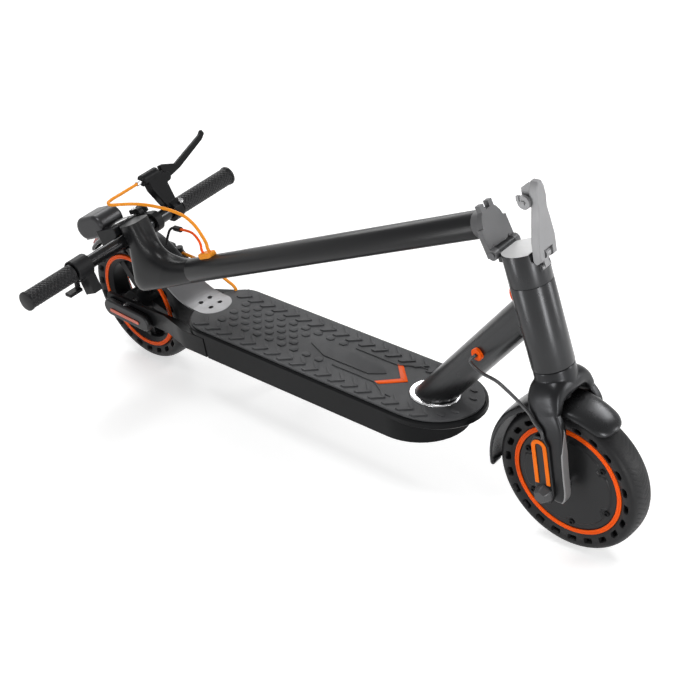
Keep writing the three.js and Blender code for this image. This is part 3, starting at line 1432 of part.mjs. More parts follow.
function makeBrakePerch() {
  const clampLow = perchOuter - perchClampWidth;
  const clamp = disc(perchClampRadius, 0, clampLow, perchOuter, 24);
  const bodyShape = polygon([[clampLow, 0], [perchOuter, 0], [perchOuter - linerWall,
      perchBarrelZ - barZ], [perchInner, perchBarrelZ - barZ],
    [perchInner, perchBarrelZ - barZ - 2 * perchBarrelRadius], [clampLow - perchClampWidth / 2,
        perchBarrelRadius * 2]]);
  const plate = frontPlate(bodyShape, -perchBodyHalf, perchBodyHalf, linerWall);
  const barrelZ = perchBarrelZ - barZ;
  const barrel = rod([0, perchBarrelInner, barrelZ], [0, perchOuter - leverEyeRadius, barrelZ],
      perchBarrelRadius, 20);
  const barHole = disc(barRadius + seatGap, 0, 0, 2 * perchOuter, 24);
  const eyeSpace = rod([-perchBodyHalf - overrun, leverPinY, leverPinZ - barZ], [perchBodyHalf + overrun,
      leverPinY, leverPinZ - barZ], leverEyeRadius + runningGap);
  const post = rod([-perchBodyHalf, leverPinY, leverPinZ - barZ], [perchBodyHalf, leverPinY,
      leverPinZ - barZ], leverPinRadius);
  const ears = [];
  for (const side of [-1, 1]) {
    const x = [side * perchBodyHalf, side * (leverThickness / 2 + runningGap)].sort((a, b) => a - b);
    ears.push(join(rod([x[0], leverPinY, leverPinZ - barZ], [x[1], leverPinY, leverPinZ - barZ],
        leverEyeRadius),
      block([x[0], leverPinY - 2 * leverEyeRadius, leverPinZ - barZ - leverEyeRadius], [x[1], leverPinY,
          leverPinZ - barZ + leverEyeRadius / 2])));
  }
  const slot = block([-leverThickness / 2 - runningGap, leverPinY - leverEyeRadius - runningGap,
      leverPinZ - barZ - 3 * leverEyeRadius],
    [leverThickness / 2 + runningGap, 2 * perchOuter, perchTop]);
  const ferrule = rod([0, perchBarrelInner - ferruleLength, barrelZ], [0, perchBarrelInner + overrun,
      barrelZ], ferruleRadius, 12);
  const shape = join(cut(join(clamp, plate, barrel), barHole, eyeSpace, slot), ferrule, post, ...ears);
  return at(shape, -barX, 0, barZ);
}

function makeBrakeLever() {
  const pin = [leverPinY, leverPinZ];
  const h = leverBladeHeight / 2;
  const blade = polygon([
    [pin[0], pin[1] - leverEyeRadius * 0.7], [leverKneeY + h, leverKneeZ - h], [leverTipY - h,
        leverTipZ - h * 1.4], [leverTipY + h, leverTipZ],
    [leverTipY + h / 2, leverTipZ + h * 1.6], [leverTipY - h, leverTipZ + h / 2], [leverKneeY,
        leverKneeZ + h], [pin[0] + h, perchTop - linerWall], [pin[0] - h / 2, perchTop - linerWall]]);
  const plate = frontPlate(blade, -leverThickness / 2, leverThickness / 2, linerWall);
  const eye = rod([-leverThickness / 2, ...pin], [leverThickness / 2, ...pin], leverEyeRadius);
  const bore = rod([-leverThickness, ...pin], [leverThickness, ...pin], leverPinRadius + runningGap);
  return at(cut(join(plate, eye), bore), -barX, 0, 0);
}

function makeBellBase() {
  const low = bellY - bellWidth / 2;
  const clamp = disc(bellClampRadius, 0, low, low + bellWidth, 24);
  const strap = block([-bellStrapLength, low, bellClampRadius - overrun], [0, low + bellWidth,
      bellClampRadius]);
  const ball = new THREE.SphereGeometry(bellDomeRadius, 16, 10);
  const domeAt = at(cut(solid(ball), block([-2 * bellDomeRadius, -2 * bellDomeRadius,
      -2 * bellDomeRadius], [2 * bellDomeRadius, 2 * bellDomeRadius, -linerWall])),
    -bellStrapLength, bellY + bellWidth / 2, bellClampRadius + linerWall / 2);
  const hole = disc(barRadius + seatGap, 0, 0, 2 * bellY, 24);
  const pivot = [bellPivotX - barX, bellPivotZ - barZ];
  const post = rod([-pivot[0], low - bellKnobThickness - runningGap, pivot[1]], [-pivot[0],
      low + linerWall, pivot[1]], bellPinRadius);
  const cheek = block([-pivot[0] - bellPinRadius * 2, low, 0], [-pivot[0] + bellPinRadius * 2,
      low + linerWall * 2, pivot[1] + bellPinRadius * 2]);
  return at(join(cut(join(clamp, strap, cheek), hole), domeAt, post), -barX, 0, barZ);
}

function makeBellLever() {
  const high = bellY - bellWidth / 2 - runningGap;
  const low = high - bellKnobThickness;
  const knob = rod([-bellPivotX, low, bellPivotZ], [-bellPivotX, high, bellPivotZ], bellKnobRadius);
  const thumb = block([-bellPivotX - 2 * bellKnobRadius, low, bellPivotZ], [-bellPivotX, high,
      bellPivotZ + bellKnobRadius - linerWall]);
  const bore = rod([-bellPivotX, low - overrun, bellPivotZ], [-bellPivotX, high + overrun, bellPivotZ],
      bellPinRadius + runningGap, 12);
  return cut(join(knob, thumb), bore);
}

function addStem() {
  add(stem, "stem_base", makeStemBase(), greyMetal);
  add(stem, "stem_tube", makeStemTube(), satinBlack);
  add(stem, "cable_grommet", makeStemGrommet(), amber);
  add(stem, "handlebar", makeHandlebar(), blackPaint);
  add(stem, "grip_right", makeGrip(-1, rightGripLength), softRubber);
  add(stem, "grip_left", makeGrip(1, leftGripLength), softRubber);
  add(stem, "display_pod", makeDisplayPod(), plastic);
  add(stem, "display", makeDisplay(), glass);
  add(stem, "power_button", makePowerButton(), orange);
  add(stem, "headlight", makeHeadlight(), glass);
  add(stem, "throttle_housing", makeThrottleHousing(), plastic);
  add(stem, "throttle_paddle", makeThrottlePaddle(), plastic);
  add(stem, "brake_perch", makeBrakePerch(), satinBlack);
  add(stem, "brake_lever", makeBrakeLever(), satinBlack);
  add(stem, "bell_base", makeBellBase(), plastic);
  add(stem, "bell_lever", makeBellLever(), plastic);
}

// Cables held at both ends

// Places given by how far they lie back from the stem's head
function fromHead(points) {
  return points.map(([back, y, z]) => [back - stemLength, y, z]);
}

function addCables() {
  const grommetTop = stemAxisZ + stemRadius + stemGrommetHeight + 2 * seatGap;
  const brakeX = -stemGrommetX + stemGrommetHalf;
  const lampX = -stemGrommetX - stemGrommetHalf;
  const cableY = perchBarrelInner - ferruleLength - seatGap;
  const brakeCable = cord([[-barX, cableY, perchBarrelZ], ...fromHead(brakeLoop), [brakeX - 1, 2, 68],
    [brakeX, 0, grommetTop + cableLead], [brakeX, 0, grommetTop]], brakeCableRadius, 38);
  add(stem, "brake_cable", brakeCable, amber);
  const [plugAt, plugStart, plugEnd] = fromHead(lampPlug);
  const lampCable = join(
    cord([[lampX, 0, grommetTop], [lampX, 0.6, grommetTop + cableLead], [lampX - 1, 3.4, 69],
        ...fromHead(lampLoop),
      plugAt], lampCableRadius, 18),
    rod(plugStart, plugEnd, connectorRadius, 10),
    cord([plugAt, ...fromHead(lampTail), [lampEndBack - stemLength, stemHeadHalf + seatGap, lampEndZ]],
        lampCableRadius, 10));
  add(stem, "lamp_cable", cut(lampCable, stemClearance()), orange);
  const grommetX = neckPlanX(neckMidZ);
  const coverTop = new THREE.Vector3(wheelbase, -(forkLegOuter + seatGap + forkCoverThickness / 2),
      forkCoverTopZ);
  const turn = new THREE.Quaternion().setFromAxisAngle(steerAxis, steerTurnDeg * deg);
  const end = coverTop.clone().sub(steerFoot).applyQuaternion(turn).add(steerFoot);
  const startY = -neckRadius - grommetThickness;
  const motorCable = cord([
    [grommetX, startY + 1, neckMidZ], [grommetX, startY - 3, neckMidZ], [745, startY - 7, neckMidZ - 6],
        [753, -36, 248],
    [766, -39, 243.5], [790, -43, 241.5], [818, -48, 240], [838, -52.5, 233], [850, -55, 222], [857, -54,
        209],
    [end.x, end.y, end.z + 8], [end.x, end.y, end.z - 1]], motorCableRadius, 32);
  add(body, "motor_cable", motorCable, softRubber);
  const rearCable = cord([
    [cableHoleX, cableHoleY, bodyRimZ + overrun], [cableHoleX, cableHoleY, 142], [cableHoleX - 0.6,
        cableHoleY, 147], [167, 46, 151.5],
    [156, 45.8, 156], [140, 45, 163.5], [112, 42, 175], [92, 38.5, 183], [79, 36.4, 185.6], [69.5, 36.2,
        185.8]], rearCableRadius, 24);
  add(body, "rear_brake_cable", rearCable, amber);
}

// Room that the lamp lead keeps to the stem's head
function stemClearance() {
  return block([-stemLength, -stemHeadHalf - seatGap, 0],
      [-stemLength + stemHeadDepth + stemHeadCurve / 3, stemHeadHalf + seatGap, stemHeadTop]);
}

// Kickstand and charging cap

function makeStandBracket() {
  const top = bodyBottomZ - seatGap;
  const plate = block([standX - standPlateLength / 2, standY - standPlateWidth, top - standPlateThickness],
    [standX + standPlateLength / 2, standY + linerWall, top]);
  const tilt = standTiltDeg * deg;
  const along = (distance) => [standX, standY + distance * Math.cos(tilt),
      standZ + distance * Math.sin(tilt)];
  const pin = rod(along(-standHubHalf * 2.4), along(standHubHalf + linerWall), standPinRadius);
  const cheek = rod(along(-standHubHalf * 2.6), along(-standHubHalf - runningGap),
      standHubRadius - linerWall);
  const reach = standHubHalf * 2.6;
  const web = block([standX - standHubRadius * 0.7, standY - reach * Math.cos(tilt),
      standZ - reach * Math.sin(tilt)],
    [standX + standHubRadius * 0.7, standY - standHubHalf * 1.6, top]);
  const above = block([standX - standPlateLength, -deckHalfWidth, top], [standX + standPlateLength,
      2 * deckHalfWidth, 2 * bodyTopZ]);
  return cut(join(plate, pin, cheek, web), above);
}

function makeStandLeg() {
  const tilt = standTiltDeg * deg;
  const along = (distance) => [standX, standY + distance * Math.cos(tilt),
      standZ + distance * Math.sin(tilt)];
  const hubPart = rod(along(-standHubHalf), along(standHubHalf), standHubRadius - linerWall * 2);
  const length = (standZ - axleHeight + wheelRadius - standFootHeight / 2) / Math.cos(tilt);
  const ground = axleHeight - wheelRadius;
  const foot = [standX, standY + length * Math.sin(tilt), ground + standFootHeight / 2];
  const leg = rod([standX, standY, standZ], foot, standLegRadius, 12);
  const shoe = at(floorDisc(standFootRadius, 0, standFootHeight, 12), foot[0], foot[1], ground);
  const bore = rod(along(-2 * standHubRadius), along(2 * standHubRadius), standPinRadius + runningGap);
  const floor = block([standX - standHubRadius * 2, 0, -2 * standFootRadius],
      [standX + standHubRadius * 2, 4 * deckHalfWidth, ground]);
  return cut(join(hubPart, leg, shoe), bore, floor);
}

function makeChargeCap() {
  const low = bodyHalfWidth + seatGap;
  const lid = rod([capX, low, capZ], [capX, low + capThickness, capZ], capRadius, 20);
  const hingeBar = rod([capX - capRadius / 2, low + capHingeRadius, capZ - capRadius],
      [capX + capRadius / 2, low + capHingeRadius, capZ - capRadius], capHingeRadius, 10);
  return join(lid, hingeBar);
}

function addSmallParts() {
  add(body, "kickstand_bracket", makeStandBracket(), satinBlack);
  add(body, "kickstand_leg", makeStandLeg(), satinBlack);
  add(body, "charge_cap", makeChargeCap(), softRubber);
}

addWheels();
addDeck();
addRearEnd();
addFenders();
addFork();
addFoldingJoint();
addStem();
addCables();
addSmallParts();

// Origin at the middle of the footprint, on the ground
scooter.updateMatrixWorld(true);
const bounds = new THREE.Box3().setFromObject(scooter, true);
const centre = bounds.getCenter(new THREE.Vector3());
body.position.set(-centre.x, -centre.y, -bounds.min.z);

export default scooter;
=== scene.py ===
# %% [markdown]
# # A folded electric kick scooter
# The scooter stands folded on its side stand, with the stem lying back over the deck.
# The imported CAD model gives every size, place and moving joint. This lesson dresses it:
# smooth metal, moulded plastic, a ribbed foot mat, honeycomb tyres and bright orange trim.

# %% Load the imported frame
import contextlib
import json
import math
import bmesh
import bpy
import numpy as np
from mathutils import Matrix, Vector


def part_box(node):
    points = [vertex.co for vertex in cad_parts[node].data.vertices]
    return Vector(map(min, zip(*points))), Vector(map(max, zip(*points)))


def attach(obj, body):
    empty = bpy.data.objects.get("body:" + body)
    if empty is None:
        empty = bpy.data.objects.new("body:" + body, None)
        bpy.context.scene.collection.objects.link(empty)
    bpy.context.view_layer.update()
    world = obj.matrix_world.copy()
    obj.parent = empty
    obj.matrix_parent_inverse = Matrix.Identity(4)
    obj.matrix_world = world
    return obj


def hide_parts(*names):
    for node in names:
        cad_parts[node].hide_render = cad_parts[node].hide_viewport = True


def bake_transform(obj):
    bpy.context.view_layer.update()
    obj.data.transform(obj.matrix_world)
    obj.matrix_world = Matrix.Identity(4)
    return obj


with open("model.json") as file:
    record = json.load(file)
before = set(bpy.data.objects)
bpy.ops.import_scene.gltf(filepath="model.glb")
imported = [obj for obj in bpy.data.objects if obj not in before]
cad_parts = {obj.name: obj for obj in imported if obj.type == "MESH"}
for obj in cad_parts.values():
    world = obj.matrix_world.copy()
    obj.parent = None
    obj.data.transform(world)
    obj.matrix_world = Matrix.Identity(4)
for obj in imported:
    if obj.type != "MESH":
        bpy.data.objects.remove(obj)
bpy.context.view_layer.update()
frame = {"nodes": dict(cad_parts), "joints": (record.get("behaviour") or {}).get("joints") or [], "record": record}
joints = {joint["name"]: joint for joint in frame["joints"]}

# %% [markdown]
# Five sets of axes carry everything. The deck and rear wheel follow the ground. The column and
# the front wheel follow the steering, which is turned a few degrees. The stem follows it too and
# leans with the fold. Reading them from the joints keeps each new piece on its CAD part.

# %% Axes and places of the assemblies
def joint_axis(name):
    return np.array(joints[name]["axis"], float)

def joint_place(name):
    return np.array(joints[name]["pos_m"], float)

class Axes:
    """An origin with three directions: ahead, to the left and up."""
    def __init__(self, origin, ahead=(1, 0, 0), left=(0, 1, 0), up=(0, 0, 1)):
        self.origin, self.ahead = np.array(origin, float), np.array(ahead, float)
        self.left, self.up = np.array(left, float), np.array(up, float)

    def put(self, points):
        """Local points (..., 3) to places in the frame: origin + x ahead + y left + z up."""
        points = np.asarray(points, float)
        turned = points[..., :1] * self.ahead + points[..., 1:2] * self.left + points[..., 2:] * self.up
        return self.origin + turned

AXLE_HEIGHT = 0.108
rear_hub = joint_place("rear_wheel_spin")
deck = Axes(rear_hub - [0, 0, AXLE_HEIGHT])
rear_wheel = Axes(rear_hub)

steer_up = joint_axis("steering")
wheel_left = joint_axis("front_wheel_spin")
steer_out = np.cross(wheel_left, steer_up)
lean_cos, lean_sin = steer_up[2], -steer_up[0]
front_hub = joint_place("front_wheel_spin")
front_wheel = Axes(front_hub, lean_cos * steer_out - lean_sin * steer_up, wheel_left,
                   lean_sin * steer_out + lean_cos * steer_up)
on_axis = joint_place("steering") + steer_up * np.dot(front_hub - joint_place("steering"), steer_up)
trail = np.linalg.norm(on_axis - front_hub)
column = Axes(on_axis - trail * lean_sin / lean_cos * steer_up, steer_out, wheel_left, steer_up)

stem_up = joint_axis("power_button_press")
stem = Axes(joint_place("stem_fold"), np.cross(wheel_left, stem_up), wheel_left, stem_up)
print("trail", round(float(trail), 4), "stem leans", np.round(stem.ahead, 3))

# %% [markdown]
# The camera stands where the photographer's did: high, ahead of the scooter and to its right,
# with a long lens. It is rolled a little, as the picture is.

# %% Camera at the photograph's view
CAMERA_PLACE = np.array([2.16580, -1.38340, 1.50044])
CAMERA_YAW, CAMERA_PITCH, CAMERA_ROLL = 0.891, 0.539, -0.190
FOCAL_PIXELS, PICTURE_PIXELS = 1836.73, 675
CENTRE_PIXEL = (338.99, 332.74)
SENSOR_MM = 36.0

def camera_axes():
    """Right, up and backward directions from yaw, pitch and roll."""
    yaw, pitch, roll = CAMERA_YAW, CAMERA_PITCH, CAMERA_ROLL
    back = np.array([math.sin(yaw) * math.cos(pitch), -math.cos(yaw) * math.cos(pitch), math.sin(pitch)])
    right = np.cross(-back, [0, 0, 1])
    right /= np.linalg.norm(right)
    level_up = np.cross(right, -back)
    rolled_right = math.cos(roll) * right + math.sin(roll) * level_up
    return rolled_right, np.cross(back, rolled_right), back

def new_object(name, data):
    """An object for a mesh, lamp or camera, linked into the scene at the origin."""
    thing = bpy.data.objects.new(name, data)
    bpy.context.scene.collection.objects.link(thing)
    return thing

lens = bpy.data.cameras.new("camera")
lens.sensor_width = SENSOR_MM
lens.lens = FOCAL_PIXELS / PICTURE_PIXELS * SENSOR_MM
lens.shift_x = (PICTURE_PIXELS / 2 - CENTRE_PIXEL[0]) / PICTURE_PIXELS
lens.shift_y = (CENTRE_PIXEL[1] - PICTURE_PIXELS / 2) / PICTURE_PIXELS
camera = new_object("camera", lens)
place = deck.put(CAMERA_PLACE)
camera.matrix_world = Matrix([*np.column_stack([*camera_axes(), place]).tolist(), [0, 0, 0, 1]])
bpy.context.scene.camera = camera
print("camera at", np.round(place, 3), "lens", round(lens.lens, 1), "mm")

# %% [markdown]
# Nearly every new piece is a surface: a grid of points worked out from two parameters, with
# quads between neighbours. Rods, rings and cords are the same grid bent round an axis or a path.

# %% Making a mesh from a grid of points
MERGE, CREASE = 2e-6, 38

@contextlib.contextmanager
def opened(mesh):
    """The mesh as a BMesh to work on, which is written back at the end."""
    work = bmesh.new()
    work.from_mesh(mesh)
    yield work
    work.to_mesh(mesh)
    work.free()

def soften(mesh, crease):
    """Smooth shading, with the edges past crease degrees kept sharp."""
    mesh.polygons.foreach_set("use_smooth", np.ones(len(mesh.polygons), bool))
    mesh.set_sharp_from_angle(angle=math.radians(crease))

def mesh_piece(name, vertices, faces, crease=CREASE, merge=MERGE):
    """An object from points and faces: doubles merged, faces outward, edges past crease degrees sharp."""
    mesh = bpy.data.meshes.new(name)
    mesh.from_pydata(np.reshape(vertices, (-1, 3)).tolist(), [], faces)
    with opened(mesh) as work:
        if merge:
            bmesh.ops.remove_doubles(work, verts=work.verts, dist=merge)
        bmesh.ops.recalc_face_normals(work, faces=work.faces)
    soften(mesh, crease)
    return new_object(name, mesh)

def grid_faces(rows, columns, close_rows, close_columns, start=0):
    """Quads from each point to its next neighbours, wrapping round where a direction is closed."""
    r, c = np.meshgrid(np.arange(rows if close_rows else rows - 1),
                       np.arange(columns if close_columns else columns - 1), indexing="ij")
    nr, nc = (r + 1) % rows, (c + 1) % columns
    corners = [r * columns + c, nr * columns + c, nr * columns + nc, r * columns + nc]
    return start + np.stack(corners, -1).reshape(-1, 4)

def grid_piece(name, points, close_rows=False, close_columns=False, crease=CREASE):
    faces = grid_faces(*points.shape[:2], close_rows, close_columns)
    return mesh_piece(name, points, faces.tolist(), crease)

print("a closed grid of 3 by 4 points has", len(grid_faces(3, 4, True, True)), "quads")

# %% [markdown]
# Wheels, caps and screws are turned parts, so most grids are a profile spun round an axis. Real
# edges are never knife sharp, so profiles get small curves at their corners. A section between
# round and square is a circle whose sine and cosine are raised to a power.

# %% Rings, corners and squared-off circles
MOST_SHARE = 0.45

def full_turn(steps):
    """The angles of a closed ring, as a column."""
    return np.linspace(0, 2 * np.pi, steps, endpoint=False)[:, None]

def spun(radius, y, turn):
    """A radius and a y carried round the y axis: x = radius cos turn, z = radius sin turn."""
    return np.stack(np.broadcast_arrays(radius * np.cos(turn), y, radius * np.sin(turn)), -1)

def ring_of(profile, steps=192):
    """A profile of (radius, y) carried all round the y axis."""
    profile = np.asarray(profile, float)
    return spun(profile[:, 0], profile[:, 1], full_turn(steps))

def turned_piece(name, axes, profile, steps=192, crease=CREASE, at=(0, 0, 0)):
    """A closed profile turned round an axle: a rim, a drum, a rod or a cap."""
    return grid_piece(name, axes.put(ring_of(profile, steps) + np.array(at)), True, True, crease)

def curve_past(first, corner, last, t):
    """A quadratic curve: (1 - t)^2 first + 2 t (1 - t) corner + t^2 last."""
    return (1 - t) ** 2 * first + 2 * t * (1 - t) * corner + t ** 2 * last

def rounded(profile, radius, steps=4):
    """Each corner of a closed profile replaced by a small curve that starts and ends radius from it."""
    profile = np.asarray(profile, float)
    before, after = np.roll(profile, 1, 0) - profile, np.roll(profile, -1, 0) - profile
    reach = lambda side: side * np.minimum(radius / np.linalg.norm(side, axis=1), MOST_SHARE)[:, None]
    first, last = profile + reach(before), profile + reach(after)
    t = np.linspace(0, 1, steps)[None, :, None]
    return curve_past(first[:, None], profile[:, None], last[:, None], t).reshape(-1, profile.shape[1])

def signed_power(value, power):
    """The value's size to a power, with its sign kept: on sine and cosine it squares a circle off."""
    return np.sign(value) * np.abs(value) ** power

def closed_ends(rows, first, last):
    """Rows of points with a row at one place before and after them, which closes both ends."""
    one_row = (1, *rows.shape[1:])
    return np.concatenate([np.broadcast_to(first, one_row), rows, np.broadcast_to(last, one_row)])

print("a rounded square has", len(rounded([[0, 0], [1, 0], [1, 1], [0, 1]], 0.1)), "points")

# %% [markdown]
# A cord or a bent tube is a circle carried along a smooth curve through chosen points. The curve
# is a Catmull-Rom spline, whose knots are spaced by the root of the distance, so it never loops.

# %% Curves and tubes along them
TINY = 1e-9
ODD_WAY = [0.31, 0.17, 0.93]

def smooth_path(points, count):
    """A centripetal Catmull-Rom curve through the points, as count places evenly spread in the knots."""
    points = np.asarray(points, float)
    points = np.vstack([2 * points[0] - points[1], points, 2 * points[-1] - points[-2]])
    gaps = np.sqrt(np.linalg.norm(np.diff(points, axis=0), axis=1)) + TINY
    knots = np.concatenate([[0], np.cumsum(gaps)])
    t = np.linspace(knots[1], knots[-2] - TINY, count)
    i = np.clip(np.searchsorted(knots, t, side="right") - 1, 1, len(points) - 3)
    t = t[:, None]
    places = [points[i + k] for k in (-1, 0, 1, 2)]
    times = [knots[i + k][:, None] for k in (-1, 0, 1, 2)]

    def between(first, last, k, span):
        return ((times[k + span] - t) * first + (t - times[k]) * last) / (times[k + span] - times[k])

    near = [between(places[k], places[k + 1], k, 1) for k in range(3)]
    wide = [between(near[k], near[k + 1], k, 2) for k in range(2)]
    return between(wide[0], wide[1], 1, 1)

def path_axes(path):
    """Two directions square to the path at each place, carried along it with no twist."""
    ahead = np.gradient(path, axis=0)
    ahead /= np.linalg.norm(ahead, axis=1)[:, None]
    side = np.cross(ahead[0], ODD_WAY)
    sides = []
    for direction in ahead:
        side = side - direction * np.dot(side, direction)
        side = side / np.linalg.norm(side)
        sides.append(side)
    sides = np.array(sides)
    return sides, np.cross(ahead, sides)

def tube_piece(name, axes, path, radius, sides=20):
    """A circle of a radius carried along a path, its ends closed to a point."""
    path = axes.put(path)
    first, second = path_axes(path)
    turn = full_turn(sides)
    ring = np.cos(turn) * first[:, None] + np.sin(turn) * second[:, None]
    points = path[:, None] + radius * ring
    return grid_piece(name, closed_ends(points, path[0], path[-1]), False, True)

def path_length(path):
    return float(np.linalg.norm(np.diff(path, axis=0), axis=1).sum())

bent = smooth_path([[0, 0, 0], [1, 0, 0], [1, 1, 0]], 50)
print("a smooth curve through a corner of two metres measures", round(path_length(bent), 3))

# %% [markdown]
# Machined and cast parts whose CAD shape is already right keep it, but their edges are knife
# sharp and their round faces are faceted. A copy of the solid, with its triangles merged back
# into flat faces, takes a small bevel. Cast parts are remeshed and smoothed instead, which
# leaves the soft inside corners that a mould gives.

# %% Copies of CAD solids with soft edges
SOLID_MERGE, FLAT_DEGREES = 1e-5, 1

def merged_copy(node, name=None):
    """The node's triangles merged into whole faces."""
    mesh = frame["nodes"][node].data.copy()
    with opened(mesh) as work:
        bmesh.ops.remove_doubles(work, verts=work.verts, dist=SOLID_MERGE)
        bmesh.ops.dissolve_limit(work, angle_limit=math.radians(FLAT_DEGREES), verts=work.verts,
                                 edges=work.edges)
    mesh.materials.clear()
    return new_object(name or node + "_finished", mesh)

def edged(node, material, width=0.0006, angle=28, segments=2):
    """A copy with its edges past an angle bevelled and its faces shaded smooth round the curves."""
    piece = merged_copy(node)
    soften(piece.data, 180)
    bevel = piece.modifiers.new("soft_edges", "BEVEL")
    bevel.width, bevel.segments, bevel.limit_method = width, segments, "ANGLE"
    bevel.angle_limit = math.radians(angle)
    bevel.use_clamp_overlap = True
    bevel.miter_outer = "MITER_ARC"
    piece.modifiers.new("flat_faces", "WEIGHTED_NORMAL").keep_sharp = False
    return dress(piece, material, node)

def skinned(piece, grain, smoothing):
    """One skin over all of a piece's solids, remeshed in cubes of a grain and smoothed, as a casting."""
    skin = piece.modifiers.new("skin", "REMESH")
    skin.mode, skin.voxel_size, skin.use_smooth_shade = "VOXEL", grain, True
    corners = piece.modifiers.new("soft_corners", "SMOOTH")
    corners.factor, corners.iterations = 0.5, smoothing
    return piece

def cast(node, material, grain, smoothing):
    """A copy of the node under such a skin."""
    return dress(skinned(merged_copy(node), grain, smoothing), material, node)

def dress(piece, material, node=None, body=None, slot=None):
    """Gives a piece its material and body, from the CAD node that it stands for if it has one. The slot is not
    used.
    """
    piece.data.materials.clear()
    piece.data.materials.append(material)
    if node:
        bodies, parts = frame["record"]["behaviour"]["bodies"], frame["record"]["subparts"]
        body = body or next(name for name, nodes in bodies.items() if node in nodes)
        slot = slot or next(part["material_slot"] for part in parts if part["node"] == node)
        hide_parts(node)
    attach(piece, body)
    return piece

print("solids to dress", len(frame["nodes"]))

# %% [markdown]
# Paint, plastic and rubber differ less in colour than in how they break up light. Each finish
# below is a base colour with a slow change of tone, a roughness that wanders, and a fine grain
# in the bump. The grain's scale is in metres of the real surface.

# %% A builder for the finishes
class Graph:
    """The nodes of a material or a world."""
    def __init__(self, owner):
        owner.use_nodes = True
        self.nodes, self.links = owner.node_tree.nodes, owner.node_tree.links

    def set(self, node, sockets):
        """Each socket linked, where its value is another node's output, or set to the value."""
        for name, value in sockets.items():
            if isinstance(value, bpy.types.NodeSocket):
                self.links.new(value, node.inputs[name])
            else:
                node.inputs[name].default_value = value

    def add(self, kind, output, sockets=(), **settings):
        """A new node's output, once its sockets and settings are in place."""
        node = self.nodes.new("ShaderNode" + kind)
        for name, value in settings.items():
            setattr(node, name, value)
        self.set(node, dict(sockets))
        return node.outputs[output]

    def spread(self, value, out_low, out_high, low=0.0, high=1.0):
        """A value from low to high mapped to one from out_low to out_high, and held past them."""
        return self.add("MapRange", "Result", {"Value": value, "From Min": low, "From Max": high,
                                               "To Min": out_low, "To Max": out_high})

TONE_SCALE, WANDER_SCALE, GRAIN_HEIGHT, COAT_ROUGHNESS = 14, 60, 0.0004, 0.12
NOISE_LOW, NOISE_HIGH = 0.3, 0.7

def finish(name, colour, roughness, metallic, tone, wander, grain, depth, specular=0.5, coat=0.0, dust=0.0,
           stretch=(1, 1, 1)):
    """A Principled material: noise changes its tone and roughness, and a finer noise gives its grain."""
    material = bpy.data.materials.new(name)
    graph = Graph(material)
    place = graph.add("Mapping", "Vector", {"Vector": graph.add("TexCoord", "Object"), "Scale": stretch})

    def noise(scale, detail, rough=0.55):
        return graph.add("TexNoise", "Fac", {"Vector": place, "Scale": scale, "Detail": detail,
                                             "Roughness": rough})

    shade = graph.add("ValToRGB", "Color", {"Fac": noise(TONE_SCALE, 4)})
    dark, pale = shade.node.color_ramp.elements
    dark.position, pale.position = NOISE_LOW, NOISE_HIGH
    dark.color = [*(channel * (1 - tone) for channel in colour), 1]
    pale.color = [*(min(1, channel * (1 + tone) + dust) for channel in colour), 1]
    bump = graph.add("Bump", "Normal", {"Height": noise(grain, 3, 0.6), "Strength": depth,
                                        "Distance": GRAIN_HEIGHT})
    graph.set(graph.nodes["Principled BSDF"], {
        "Base Color": shade, "Normal": bump, "Metallic": metallic, "Specular IOR Level": specular,
        "Coat Weight": coat, "Coat Roughness": COAT_ROUGHNESS,
        "Roughness": graph.spread(noise(WANDER_SCALE, 5), roughness - wander, roughness + wander,
                                  NOISE_LOW, NOISE_HIGH)})
    return material

# %% [markdown]
# The blacks differ in how dull they are. The paints of the column, fork, fenders and pod are
# mostly metallic, for their long soft highlights. Colours are written as linear values.

# %% The finishes
# Colour, roughness, metallic, change of tone, wander of roughness, grain per metre and its depth.
black_paint = finish("black_paint", (0.0095, 0.0098, 0.0105), 0.33, 0, 0.1, 0.03, 1300, 0.04, specular=0.07)
satin_black = finish("satin_black", (0.011, 0.0112, 0.012), 0.36, 0, 0.1, 0.03, 1600, 0.06, specular=0.1)
column_paint = finish("column_paint", (0.04, 0.0405, 0.042), 0.29, 0.85, 0.05, 0.02, 2200, 0.02)
fork_paint = finish("fork_paint", (0.023, 0.0235, 0.025), 0.3, 0.8, 0.05, 0.02, 2200, 0.02)
grey_metal = finish("grey_metal", (0.24, 0.24, 0.245), 0.42, 0.3, 0.06, 0.04, 1800, 0.16)
plate_metal = finish("plate_metal", (0.1, 0.1, 0.103), 0.42, 0.3, 0.06, 0.04, 1800, 0.1, specular=0.3)
# A paler grey for the tongue of the black rear fender: a painted sheen.
tongue_painted_sheen = finish("tongue_painted_sheen", (0.17, 0.17, 0.175), 0.34, 0.5, 0.04, 0.04, 1500, 0.08)
pale_metal = finish("pale_metal", (0.72, 0.72, 0.72), 0.5, 0.1, 0.03, 0.04, 1500, 0.06)
bright_steel = finish("bright_steel", (0.72, 0.72, 0.73), 0.24, 1.0, 0.04, 0.06, 500, 0.06, stretch=(1, 8, 1))
tyre_rubber = finish("tyre_rubber", (0.0095, 0.0095, 0.0103), 0.5, 0, 0.16, 0.06, 1500, 0.16, specular=0.22,
                     dust=0.002)
soft_rubber = finish("soft_rubber", (0.011, 0.011, 0.012), 0.36, 0, 0.12, 0.03, 1700, 0.06, specular=0.22)
lead_rubber = finish("lead_rubber", (0.035, 0.035, 0.037), 0.3, 0, 0.1, 0.03, 2600, 0.08)
mat_rubber = finish("mat_rubber", (0.07, 0.071, 0.074), 0.5, 0, 0.06, 0.05, 2400, 0.25, specular=0.15)
moulded_black = finish("moulded_black", (0.0105, 0.0108, 0.0118), 0.3, 0, 0.1, 0.03, 1900, 0.06, specular=0.15)
pod_black = finish("pod_black", (0.045, 0.045, 0.047), 0.34, 0.8, 0.06, 0.02, 1900, 0.02)
